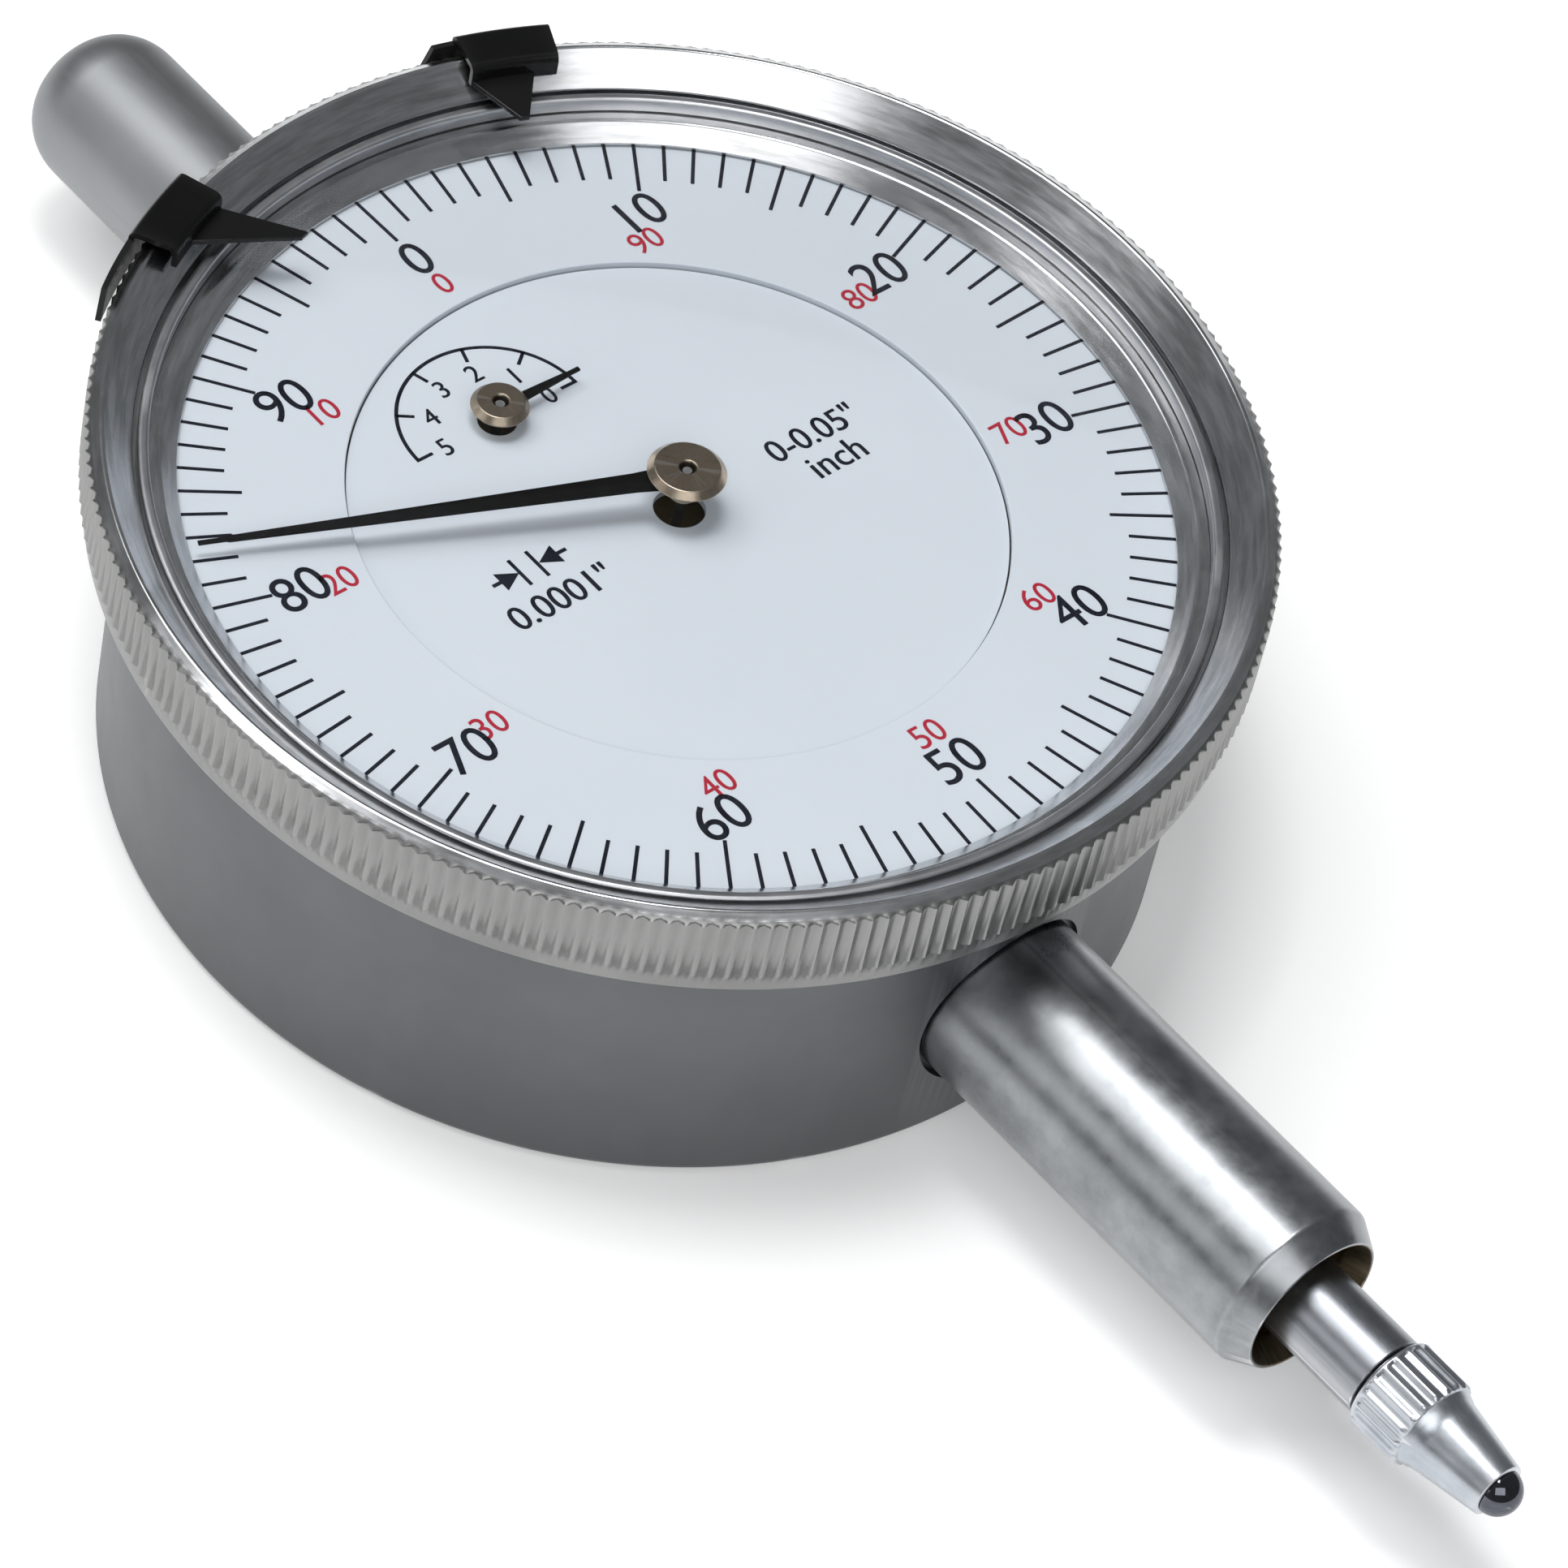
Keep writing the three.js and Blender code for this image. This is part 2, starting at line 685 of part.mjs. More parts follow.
function meshWithCentre(place, teeth) {
  return meshPhase(centreArbor, 0, centrePinionTeeth, place, teeth);
}

function layer(index) {
  return firstLayer + index * layerPitch;
}

function lowerPlate() {
  const jewelHoles = [secondArbor, centreArbor, takeUpArbor].map(([x, y]) => [x, y, jewelRadius + closeGap]);
  const counterHole = [...counterArbor, pivotRadius + closeGap];
  const rackHole = [...rackArbor, arborRadius + fitGap];
  const screwHoles = pillarPlaces.map(([x, y]) => [x, y, screwShankRadius + closeGap]);
  const holes = [...jewelHoles, counterHole, rackHole, ...screwHoles];
  const plate = flat(circlePoints(lowerPlateRadius, midSegments), lowerPlateHeight, lowerPlateTop, holes);
  return joined(plate, springPost());
}

function upperPlate() {
  const arbors = [rackArbor, secondArbor, centreArbor, takeUpArbor];
  const jewelHoles = arbors.map(([x, y]) => [x, y, jewelRadius + closeGap]);
  const counterHole = [...counterArbor, arborRadius + closeGap];
  const screwHoles = movementScrewPlaces().map(([x, y]) => [x, y, screwShankRadius + closeGap]);
  const holes = [...jewelHoles, counterHole, ...screwHoles];
  return flat(circlePoints(upperPlateRadius, bigSegments), upperPlateHeight, upperPlateTop, holes);
}

function pillar([x, y]) {
  const post = rod(pillarRadius, lowerPlateTop + closeGap, upperPlateHeight - closeGap, smallSegments, x, y);
  return cut(post, rod(screwShankRadius + closeGap, lowerPlateTop - 1, lowerPlateTop + 1.8, 8, x, y));
}

// The cock carries the lower jewel of the rack pinion's arbor, under the spindle's level.
function rackCock() {
  const top = lowerPlateHeight - closeGap;
  const bottom = cockTop - cockThickness;
  const inside = rackTipX - fitGap;
  const leg = inside + cockReach;
  const side = [
    [inside, bottom],
    [leg, bottom],
    [leg, top],
    [leg - cockLegWidth, top],
    [leg - cockLegWidth, bottom + cockThickness],
    [inside, bottom + cockThickness],
  ];
  // The side view is drawn in X and height, then turned so that its thickness runs along Y.
  const body = flat(side, -cockLength / 2, cockLength / 2);
  body.rotateX(Math.PI / 2).translate(0, rackArbor[1], 0);
  const jewelHole = rod(jewelRadius + closeGap, bottom - 1, bottom + cockThickness + 1, 10, ...rackArbor);
  return cut(body, jewelHole);
}

function jewel([x, y], low) {
  return ring(jewelHoleRadius, jewelRadius, low, low + jewelThickness, 8).translate(x, y, 0);
}

// A block under the lower plate, with a slot along Y that keeps the guide pin level.
function guideBlock() {
  const top = lowerPlateHeight - closeGap;
  const slot = guidePinRadius + runGap;
  const near = -(spindleRadius + 1.2);
  const far = -(guidePinLength + 1.2);
  const side = [
    [near, top],
    [far, top],
    [far, spindleHeight - slot - 1],
    [near, spindleHeight - slot - 1],
    [near, spindleHeight - slot],
    [far + 0.8, spindleHeight - slot],
    [far + 0.8, spindleHeight + slot],
    [near, spindleHeight + slot],
  ];
  const block = flat(side, -guideBlockLength / 2, guideBlockLength / 2);
  return block.rotateX(Math.PI / 2).translate(0, guidePinY + 0.5, 0);
}

function returnSpring() {
  const from = springPinY - guidePinRadius - fitGap;
  class Helix extends THREE.Curve {
    getPoint(t, target = new THREE.Vector3()) {
      const angle = 2 * Math.PI * springTurns * t;
      const x = springCoilRadius * Math.cos(angle);
      const z = springCoilRadius * Math.sin(angle);
      return target.set(x, from - springLength * t, z);
    }
  }
  const wire = new THREE.Shape(circlePoints(springWire, 4).map(([x, y]) => new THREE.Vector2(x, y)));
  const options = { steps: 7 * springTurns, bevelEnabled: false, extrudePath: new Helix() };
  const coil = new THREE.ExtrudeGeometry(wire, options);
  return coil.translate(-springPinLength + guidePinRadius, 0, spindleHeight);
}

// The fixed end of the return spring: a post under the lower plate.
function springPost() {
  const y = springPinY - guidePinRadius - 2 * fitGap - springLength - springPostRadius - springWire;
  const x = -springPinLength + guidePinRadius;
  return rod(springPostRadius, spindleHeight - springCoilRadius, lowerPlateTop, tinySegments, x, y);
}

// A flat spiral around the take-up arbor.
function hairspring() {
  const steps = 12 * hairspringTurns;
  const start = arborRadius + fitGap;
  const side = (offset) =>
    Array.from({ length: steps + 1 }, (_, i) => {
      const turn = i / 12;
      return polar(start + hairspringPitch * turn + offset, 2 * Math.PI * turn);
    });
  const outline = [...side(hairspringWidth), ...side(0).reverse()];
  const spiral = flat(outline, layer(0), layer(0) + gearThickness);
  return spiral.translate(takeUpArbor[0], takeUpArbor[1], 0);
}

function addPlates() {
  addPiece("lower_plate", lowerPlate(), "brass");
  addPiece("upper_plate", upperPlate(), "brass");
  const pillarScrewFace = lowerPlateHeight - closeGap / 2 - screwHeadHeight;
  pillarPlaces.forEach(([x, y], i) => {
    addPiece(`plate_pillar_${i + 1}`, pillar([x, y]), "brass");
    addPiece(`pillar_screw_${i + 1}`, screw(x, y, pillarScrewFace, 2.2, 1), "brightSteel");
  });
  const movementScrewFace = upperPlateTop + closeGap / 2 + screwHeadHeight;
  movementScrewPlaces().forEach(([x, y], i) => {
    addPiece(`movement_screw_${i + 1}`, screw(x, y, movementScrewFace, 2.2, -1), "brightSteel");
  });
  addPiece("rack_cock", rackCock(), "brass");
  addPiece("guide_block", guideBlock(), "brass");
}

// A gear in mesh with the centre pinion.
function handGear(teeth, place, layerIndex, spokes) {
  return gearWheel(teeth, handModule, meshWithCentre(place, teeth), place, layer(layerIndex), spokes);
}

function addGears() {
  const rackGear = gearWheel(rackGearTeeth, rackGearModule, 0, rackArbor, layer(0), 5);
  addPiece("rack_gear", rackGear, "brass");
  addPiece("second_gear", handGear(secondGearTeeth, secondArbor, 1, 4), "brass");
  addPiece("take_up_gear", handGear(takeUpGearTeeth, takeUpArbor, 2, 5), "brass");
  addPiece("counter_gear", handGear(counterGearTeeth, counterArbor, 3, 6), "brass");
}

// Each arbor runs from its lower seat to its upper jewel, or up to its hand's hub.
function addArbors() {
  const rackLeaves = { low: spindleHeight - 1.3, high: spindleHeight + 1.3 };
  const secondLeaves = { low: layer(0) - closeGap, high: layer(0) + gearThickness + closeGap };
  const centreLeaves = { low: layer(1) - closeGap, high: layer(3) + gearThickness + closeGap };
  const secondPinion = {
    teeth: secondPinionTeeth,
    module: rackGearModule,
    phase: meshPhase(rackArbor, 0, rackGearTeeth, secondArbor, secondPinionTeeth),
  };
  const centreTop = dialHeight + hubRise + hubThickness - 0.25;
  const counterTop = dialHeight + counterHubRise + counterHubThickness - 0.25;
  const arbors = {
    rack_pinion: arbor(rackArbor, cockTop, jewelTop, { ...rackPinion, ...rackLeaves }),
    second_pinion: arbor(secondArbor, lowerPlateTop, jewelTop, { ...secondPinion, ...secondLeaves }),
    centre_pinion: arbor(centreArbor, lowerPlateTop, centreTop, { ...centrePinion, ...centreLeaves }),
    take_up_arbor: arbor(takeUpArbor, lowerPlateTop, jewelTop),
    counter_arbor: arbor(counterArbor, lowerPlateTop, counterTop),
  };
  Object.entries(arbors).forEach(([name, geometry]) => addPiece(name, geometry, "brightSteel"));
}

function addSpringsAndJewels() {
  addPiece("hairspring", hairspring(), "brightSteel");
  addPiece("return_spring", returnSpring(), "brightSteel");
  const onLowerPlate = [secondArbor, centreArbor, takeUpArbor];
  addPiece("jewel_1", jewel(rackArbor, cockTop - jewelThickness), "ruby");
  onLowerPlate.forEach((place, i) => {
    addPiece(`jewel_${i + 2}`, jewel(place, lowerPlateTop - jewelThickness), "ruby");
  });
  [rackArbor, ...onLowerPlate].forEach((place, i) => {
    addPiece(`jewel_${i + 5}`, jewel(place, upperPlateHeight), "ruby");
  });
}

// ---- Dials and hands ----

function innerDial() {
  const top = dialHeight + innerDialRise;
  const bottom = top - innerDialThickness;
  const holes = [
    [0, 0, dialCentreHoleRadius],
    [...counterArbor, dialCounterHoleRadius],
  ];
  const plate = flat(circlePoints(innerDialRadius, bigSegments), bottom, top, holes);
  const foot = ([x, y]) => rod(dialFootRadius, upperPlateTop + closeGap, bottom + 0.1, 10, x, y);
  return joined(plate, ...dialFeet.map(foot));
}

function hub(radius, rise, thickness, chamfer, postRadius, postLength) {
  const bottom = dialHeight + rise;
  const top = bottom + thickness;
  const bore = Math.min(hubBoreRadius, postRadius - 0.15);
  return turned(
    [
      [bore, bottom - postLength],
      [postRadius, bottom - postLength],
      [postRadius, bottom],
      [radius - 0.1, bottom],
      [radius, bottom + 0.15],
      [radius - chamfer, top],
      [bore, top],
    ],
    16,
  );
}

// The hand's outline along +X: a ring at the hub, a long taper and a narrow tip.
function handOutline({ ringRadius, length, tipLength, rootWidth, endWidth, tipWidth }) {
  const join = Math.sqrt(ringRadius ** 2 - (rootWidth / 2) ** 2);
  const start = THREE.MathUtils.radToDeg(Math.asin(rootWidth / 2 / ringRadius));
  const roundBack = arc([0, 0], ringRadius, start, 360 - start, 14);
  roundBack.pop();
  return [
    ...roundBack,
    [join, -rootWidth / 2],
    [length - tipLength, -endWidth / 2],
    [length - tipLength, -tipWidth / 2],
    [length, -tipWidth / 2],
    [length, tipWidth / 2],
    [length - tipLength, tipWidth / 2],
    [length - tipLength, endWidth / 2],
  ];
}

function mainHand() {
  const outline = handOutline({
    ringRadius: handRingRadius,
    length: handLength,
    tipLength: handTipLength,
    rootWidth: handRootWidth,
    endWidth: handEndWidth,
    tipWidth: handTipWidth,
  });
  const hand = flat(outline, 0, handThickness, [[0, 0, hubPostRadius + closeGap]]);
  hand.rotateY(Math.atan(handSlope));
  hand.rotateZ(THREE.MathUtils.degToRad(90 - handAzimuth));
  return hand.translate(0, 0, dialHeight + handRise);
}

function counterHand() {
  const outline = handOutline({
    ringRadius: counterPostRadius + 0.45,
    length: counterHandLength,
    tipLength: 0.8,
    rootWidth: 0.6,
    endWidth: 0.3,
    tipWidth: 0.24,
  });
  const hand = flat(outline, 0, handThickness, [[0, 0, counterPostRadius + closeGap]]);
  hand.rotateZ(THREE.MathUtils.degToRad(90 - counterHandAzimuth));
  return hand.translate(counterArbor[0], counterArbor[1], dialHeight + counterHandRise);
}

function addDialAndHands() {
  addPiece("inner_dial", innerDial(), "dialWhite");
  addPiece("main_hand", mainHand(), "blackSteel");
  const mainHub = hub(hubRadius, hubRise, hubThickness, hubChamfer, hubPostRadius, hubPostLength);
  addPiece("main_hand_hub", mainHub, "nickel");
  addPiece("counter_hand", counterHand(), "blackSteel");
  const smallHub = hub(counterHubRadius, counterHubRise, counterHubThickness, 0.3, counterPostRadius, 0.9);
  addPiece("counter_hand_hub", smallHub.translate(counterArbor[0], counterArbor[1], 0), "nickel");
}

// ---- Bezel and what turns with it ----

function bezel() {
  const grooveMiddle = (bezelBottomRise + knurlBottomRise) / 2 - closeGap;
  const groove = springRingThickness / 2 + closeGap;
  const grooveRadius = bezelBore + springRingBite + closeGap;
  const retainerTop = -outerDialThickness - closeGap / 2;
  const retainerBottom = retainerTop - retainerThickness - closeGap;
  const rises = [
    [knurlRadius - bezelSkirtInset, bezelBottomRise],
    [knurlRadius, knurlBottomRise],
    [knurlRadius, knurlTopRise],
    [rimRadius, rimRise],
    [ringSeatRadius, ringSeatRise],
    [ringSeatRadius, crystalSeatRise],
    [ringSeatRadius - crystalSeatWidth, crystalSeatRise],
    [windowRadius, lipRise + lipEdge],
    [windowRadius, lipRise],
    [bezelBore, lipRise],
    [bezelBore, retainerTop],
    [bezelBore + retainerGroove, retainerTop],
    [bezelBore + retainerGroove, retainerBottom],
    [bezelBore, retainerBottom],
    [bezelBore, grooveMiddle + groove],
    [grooveRadius, grooveMiddle + groove],
    [grooveRadius, grooveMiddle - groove],
    [bezelBore, grooveMiddle - groove],
    [bezelBore, bezelBottomRise],
  ];
  return turned(rises.map(([r, rise]) => [r, dialHeight + rise]), bigSegments);
}

// A dome whose height falls with the square of the radius, the same thickness all over.
function crystal() {
  const steps = 3;
  const edge = dialHeight + crystalEdgeRise;
  const dome = (height) =>
    Array.from({ length: steps + 1 }, (_, i) => {
      const share = i / steps;
      return [crystalRadius * share, height + crystalCrown * (1 - share ** 2)];
    });
  return turned([...dome(edge), ...dome(edge + crystalThickness).reverse()], bigSegments);
}

function outerDial() {
  const top = dialHeight;
  return ring(outerDialInnerRadius, outerDialRadius, top - outerDialThickness, top, bigSegments);
}

function dialRetainer() {
  const top = dialHeight - outerDialThickness - closeGap;
  const outer = bezelBore + retainerGroove - closeGap;
  return ring(outer - retainerWidth, outer, top - retainerThickness, top, bigSegments);
}

function crystalRing() {
  const outer = ringSeatRadius - runGap;
  const low = dialHeight + crystalSeatRise + closeGap;
  return ring(outer - crystalRingWidth, outer, low, low + crystalRingHeight, bigSegments);
}

// The spring ring sits half in the case's neck and half in the bezel, and lets the bezel turn.
function bezelSpringRing() {
  const middle = dialHeight + (bezelBottomRise + knurlBottomRise) / 2 - closeGap;
  const half = springRingThickness / 2;
  const inner = neckRadius - springRingBite;
  const outer = bezelBore + springRingBite;
  return ring(inner, outer, middle - half, middle + half, bigSegments);
}

// A bent sheet clip: a top over the rim, a skirt outside, a lip inside and a pointed arm.
function toleranceClip({ centre, skirtStart, armFrom, armTo, tip, tipRadius }) {
  const top = dialHeight + rimRise + fitGap + clipSheet;
  const inner = rimRadius - clipReach;
  const outer = knurlRadius + runGap + clipSheet;
  const armLow = dialHeight + clipArmRise;
  const from = centre - clipHalfAngle;
  const to = centre + clipHalfAngle;
  const cover = sector(inner, outer, from, to, top - clipSheet, top);
  const skirt = sector(outer - clipSheet, outer, skirtStart, to, top - clipSkirtDepth, top);
  const lip = sector(inner, inner + clipSheet, from, to, armLow, top);
  const halfTip = THREE.MathUtils.radToDeg(clipTipWidth / 2 / tipRadius);
  const arm = [
    clock(inner + clipSheet * 0.8, centre + armFrom),
    clock(tipRadius, tip - halfTip),
    clock(tipRadius, tip + halfTip),
    clock(inner + clipSheet * 0.8, centre + armTo),
  ];
  return joined(cover, skirt, lip, flat([...arm].reverse(), armLow, armLow + clipSheet));
}

function addBezel() {
  addPiece("bezel", bezel(), "brightSteel");
  addPiece("outer_dial", outerDial(), "dialWhite");
  addPiece("dial_retaining_ring", dialRetainer(), "brightSteel");
  addPiece("crystal", crystal(), "clear");
  addPiece("crystal_ring", crystalRing(), "brightSteel");
  addPiece("bezel_spring_ring", bezelSpringRing(), "brightSteel");
  addPiece("tolerance_clip_left", toleranceClip(leftClip), "blackSteel");
  addPiece("tolerance_clip_right", toleranceClip(rightClip), "blackSteel");
}

addCase();
addSpindleLine();
addPlates();
addGears();
addArbors();
addSpringsAndJewels();
addDialAndHands();
addBezel();

export default indicator;
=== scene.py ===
# Looks for a dial indicator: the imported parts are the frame, and finer pieces stand for those that show.
# Sizes in the dictionaries are millimetres and degrees. +Z points out of the dial, +Y to the dust cap.
import json
import math
import bpy
import numpy as np
from mathutils import Matrix, Vector


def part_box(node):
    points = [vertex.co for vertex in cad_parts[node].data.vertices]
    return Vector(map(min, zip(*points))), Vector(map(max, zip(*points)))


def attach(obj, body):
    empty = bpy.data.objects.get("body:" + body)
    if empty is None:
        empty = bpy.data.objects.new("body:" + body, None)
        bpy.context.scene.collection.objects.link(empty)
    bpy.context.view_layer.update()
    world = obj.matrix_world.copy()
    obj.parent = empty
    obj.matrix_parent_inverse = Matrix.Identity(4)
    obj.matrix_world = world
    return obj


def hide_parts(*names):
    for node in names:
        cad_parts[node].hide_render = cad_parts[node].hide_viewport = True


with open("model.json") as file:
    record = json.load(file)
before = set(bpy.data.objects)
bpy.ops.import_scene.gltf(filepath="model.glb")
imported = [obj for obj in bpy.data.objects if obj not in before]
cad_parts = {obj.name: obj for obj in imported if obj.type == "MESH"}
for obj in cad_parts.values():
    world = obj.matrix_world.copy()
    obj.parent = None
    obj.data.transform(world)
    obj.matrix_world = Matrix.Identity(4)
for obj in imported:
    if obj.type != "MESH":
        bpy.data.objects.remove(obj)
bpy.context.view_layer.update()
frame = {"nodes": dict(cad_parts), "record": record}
mm = 0.001
spindleHeight = 7.7  # of the spindle's axis over the back
dialHeight = 18.4  # of the outer dial's face over the back
print("frame loaded:", len(frame["nodes"]), "nodes")


# Quads between neighbouring rows and columns of a table of point numbers; a quad with a doubled
# corner, as at a pole, becomes a triangle.
def gridFaces(table, closeRows, closeColumns):
    rows = np.vstack([table, table[:1]]) if closeRows else table
    full = np.hstack([rows, rows[:, :1]]) if closeColumns else rows
    quads = np.stack([full[:-1, :-1], full[:-1, 1:], full[1:, 1:], full[1:, :-1]], -1).reshape(-1, 4)
    top = quads[:, 0] == quads[:, 1]
    bottom = quads[:, 2] == quads[:, 3]
    whole = quads[~top & ~bottom].tolist()
    return whole + quads[top & ~bottom][:, [0, 2, 3]].tolist() + quads[bottom & ~top][:, :3].tolist()


# A mesh of points and faces, turned so that its faces look outwards: the summed volume of the
# cones from the origin to each face is positive when they do.
def meshOf(points, faces):
    mesh = bpy.data.meshes.new("shape")
    mesh.from_pydata(points.reshape(-1, 3).tolist(), [], faces)
    mesh.calc_loop_triangles()
    corners = np.empty(3 * len(mesh.loop_triangles), np.int32)
    mesh.loop_triangles.foreach_get("vertices", corners)
    a, b, c = points.reshape(-1, 3)[corners.reshape(-1, 3)].transpose(1, 0, 2)
    if np.einsum("ij,ij->", a, np.cross(b, c)) < 0:
        mesh.flip_normals()
    return mesh


# Each corner of a closed outline becomes a small curve: P + u d (1-t)^2 + v d t^2, where u and v
# point along the two sides and d is the given size, held to a third of the shorter side.
# A point on each side of the curve keeps the flat stretch beside it flat.
def softened(outline, sizes):
    corner = np.array(outline, float)
    before = np.roll(corner, 1, 0) - corner
    after = np.roll(corner, -1, 0) - corner
    lengths = np.stack([np.hypot(*before.T), np.hypot(*after.T)])
    size = np.minimum(np.broadcast_to(sizes, len(corner)), lengths.min(0) / 3)[:, None, None]
    u = (before / lengths[0][:, None])[:, None]
    v = (after / lengths[1][:, None])[:, None]
    t = np.array([0, 0.3, 0.7, 1])[None, :, None]
    curve = corner[:, None] + size * (u * (1 - t) ** 2 + v * t**2)
    around = np.concatenate([corner[:, None] + 1.4 * size * u, curve, corner[:, None] + 1.4 * size * v], 1)
    sharp = np.broadcast_to(sizes, len(corner)) <= 0
    return np.concatenate([around[i][:1] if sharp[i] else around[i] for i in range(len(corner))])


# A turned piece about Z: (r cos a, r sin a, h) for each outline point (r, h) and each angle a.
# reach(r, h, a) may change the radius, as ribs do. Points on the axis become one point.
def turnedMesh(outline, steps, closed=True, reach=None):
    outline = np.asarray(outline, float)
    angle = np.linspace(0, 2 * np.pi, steps, endpoint=False)
    r, a = np.meshgrid(outline[:, 0], angle, indexing="ij")
    h = np.repeat(outline[:, 1:2], steps, 1)
    if reach:
        r = reach(r, h, a)
    points = np.stack([r * np.cos(a), r * np.sin(a), h], -1)
    table = np.arange(points.size // 3).reshape(r.shape)
    table = np.where(outline[:, :1] < 1e-9, table[:, :1], table)
    return meshOf(points, gridFaces(table, closed, True))


# A shape laid along Y at the spindle's height c: (x, y, z) goes to (x, z, c - y).
def acrossCase(mesh):
    mesh.transform(Matrix(((1, 0, 0, 0), (0, 0, 1, 0), (0, -1, 0, spindleHeight), (0, 0, 0, 1))))
    return mesh


# Turned about the spindle's axis: (r cos a, h, c - r sin a), where c is the spindle's height.
def alongSpindle(outline, steps, closed=True, reach=None):
    return acrossCase(turnedMesh(outline, steps, closed, reach))


# A straight bar: the outline (x, y) carried from height low to height high, with flat ends.
def barMesh(outline, low, high):
    outline = np.array(outline, float)
    rise = np.repeat([[low], [high]], len(outline), 0)
    points = np.hstack([np.vstack([outline, outline]), rise.reshape(-1, 1)])
    table = np.arange(2 * len(outline)).reshape(2, -1)
    return meshOf(points, gridFaces(table, False, True) + [table[0, ::-1].tolist(), table[1].tolist()])


def circle(radius, steps, x=0.0, y=0.0):  # (x + r cos a, y + r sin a)
    a = np.linspace(0, 2 * np.pi, steps, endpoint=False)
    return np.stack([x + radius * np.cos(a), y + radius * np.sin(a)], -1)


def upright(mesh, x, y, z=0.0):
    mesh.transform(Matrix.Translation((x, y, z)))
    return mesh


# One mesh that holds the others side by side.
def gathered(meshes):
    points, faces, start = [], [], 0
    for mesh in meshes:
        co = np.empty(3 * len(mesh.vertices), np.float32)
        mesh.vertices.foreach_get("co", co)
        points.append(co.reshape(-1, 3).astype(float))
        faces += [[start + i for i in face.vertices] for face in mesh.polygons]
        start += len(mesh.vertices)
        bpy.data.meshes.remove(mesh)
    made = bpy.data.meshes.new("gathered")
    made.from_pydata(np.vstack(points).tolist(), [], faces)
    return made


# The first mesh with the others cut out of it.
def cutAway(mesh, cutters):
    body = bpy.data.objects.new("body", mesh)
    bpy.context.scene.collection.objects.link(body)
    for cutter in cutters:
        tool = bpy.data.objects.new("tool", cutter)
        bpy.context.scene.collection.objects.link(tool)
        change = body.modifiers.new("cut", "BOOLEAN")
        change.operation = "DIFFERENCE"
        change.solver = "EXACT"
        change.object = tool
        made = bpy.data.meshes.new_from_object(body.evaluated_get(bpy.context.evaluated_depsgraph_get()))
        body.modifiers.clear()
        body.data = made
        bpy.data.objects.remove(tool)
        bpy.context.view_layer.update()
    bpy.data.objects.remove(body)
    return made


# A flat curve of closed outlines, filled, with a thickness about its own plane and a small edge round.
def curveMesh(outlines, thickness, edge=0.0):
    curve = bpy.data.curves.new("outline", "CURVE")
    curve.dimensions = "2D"
    curve.fill_mode = "BOTH"
    curve.extrude = thickness / 2 - edge
    curve.bevel_depth = edge
    curve.bevel_resolution = 1
    curve.offset = -edge
    for outline in outlines:
        line = curve.splines.new("POLY")
        line.points.add(len(outline) - 1)
        flat = np.hstack([outline, np.zeros((len(outline), 1)), np.ones((len(outline), 1))])
        line.points.foreach_set("co", flat.ravel())
        line.use_cyclic_u = True
    return meshOfCurve(curve)


def meshOfCurve(curve):
    holder = bpy.data.objects.new("holder", curve)
    bpy.context.scene.collection.objects.link(holder)
    bpy.context.view_layer.update()
    mesh = bpy.data.meshes.new_from_object(holder.evaluated_get(bpy.context.evaluated_depsgraph_get()))
    bpy.data.objects.remove(holder)
    return mesh


# A number or short mark as a thin mesh, centred on the origin and scaled to the height asked for.
# It is printed twice, a hair apart, which makes its strokes bolder.
def printedMark(text, height, stretch, thickness, bold=0.014):
    letters = bpy.data.curves.new("letters", "FONT")
    letters.body = text
    letters.resolution_u = 5
    letters.extrude = 0.5
    mesh = meshOfCurve(letters)
    co = np.empty(3 * len(mesh.vertices), np.float32)
    mesh.vertices.foreach_get("co", co)
    co = co.reshape(-1, 3)
    low, high = co.min(0), co.max(0)
    size = height / (high[1] - low[1])
    co = (co - (low + high) / 2) * [size * stretch, size, thickness]
    mesh.vertices.foreach_set("co", co.astype(np.float32).ravel())
    twin = mesh.copy()
    mesh.transform(Matrix.Translation((bold * height, 0, 0)))
    twin.transform(Matrix.Translation((-bold * height, 0, -0.003)))
    return gathered([mesh, twin])


# A finished piece: its mesh in metres, smooth but for edges sharper than the angle, riding on its body.
def placePiece(name, mesh, material, body, nodes=(), sharp=38):
    mesh.transform(Matrix.Scale(mm, 4))
    mesh.name = name
    mesh.shade_smooth()
    mesh.set_sharp_from_angle(angle=math.radians(sharp))
    mesh.materials.clear()
    mesh.materials.append(material)
    piece = bpy.data.objects.new(name, mesh)
    bpy.context.scene.collection.objects.link(piece)
    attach(piece, body)
    if nodes:
        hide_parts(*nodes)
    return piece


def faceCentres(piece):
    centres = np.empty(3 * len(piece.data.polygons), np.float32)
    piece.data.polygons.foreach_get("center", centres)
    return centres.reshape(-1, 3) / mm


# A second finish on the faces that are picked out.
def secondFinish(piece, material, picked):
    piece.data.materials.append(material)
    piece.data.polygons.foreach_set("material_index", picked.astype(np.int32))


# A node with its settings, then its inputs: a socket is linked and anything else is set as a value.
def addNode(tree, kind, inputs=None, **settings):
    made = tree.nodes.new(kind)
    for key, value in settings.items():
        setattr(made, key, value)
    for key, value in (inputs or {}).items():
        if isinstance(value, bpy.types.NodeSocket):
            tree.links.new(value, made.inputs[key])
        else:
            made.inputs[key].default_value = value
    return made


def calculate(tree, operation, *values):
    return addNode(tree, "ShaderNodeMath", dict(enumerate(values)), operation=operation).outputs[0]


def noise(tree, vector, scale, detail, roughness=0.5):
    inputs = {"Vector": vector, "Scale": scale, "Detail": detail, "Roughness": roughness}
    return addNode(tree, "ShaderNodeTexNoise", inputs).outputs["Fac"]


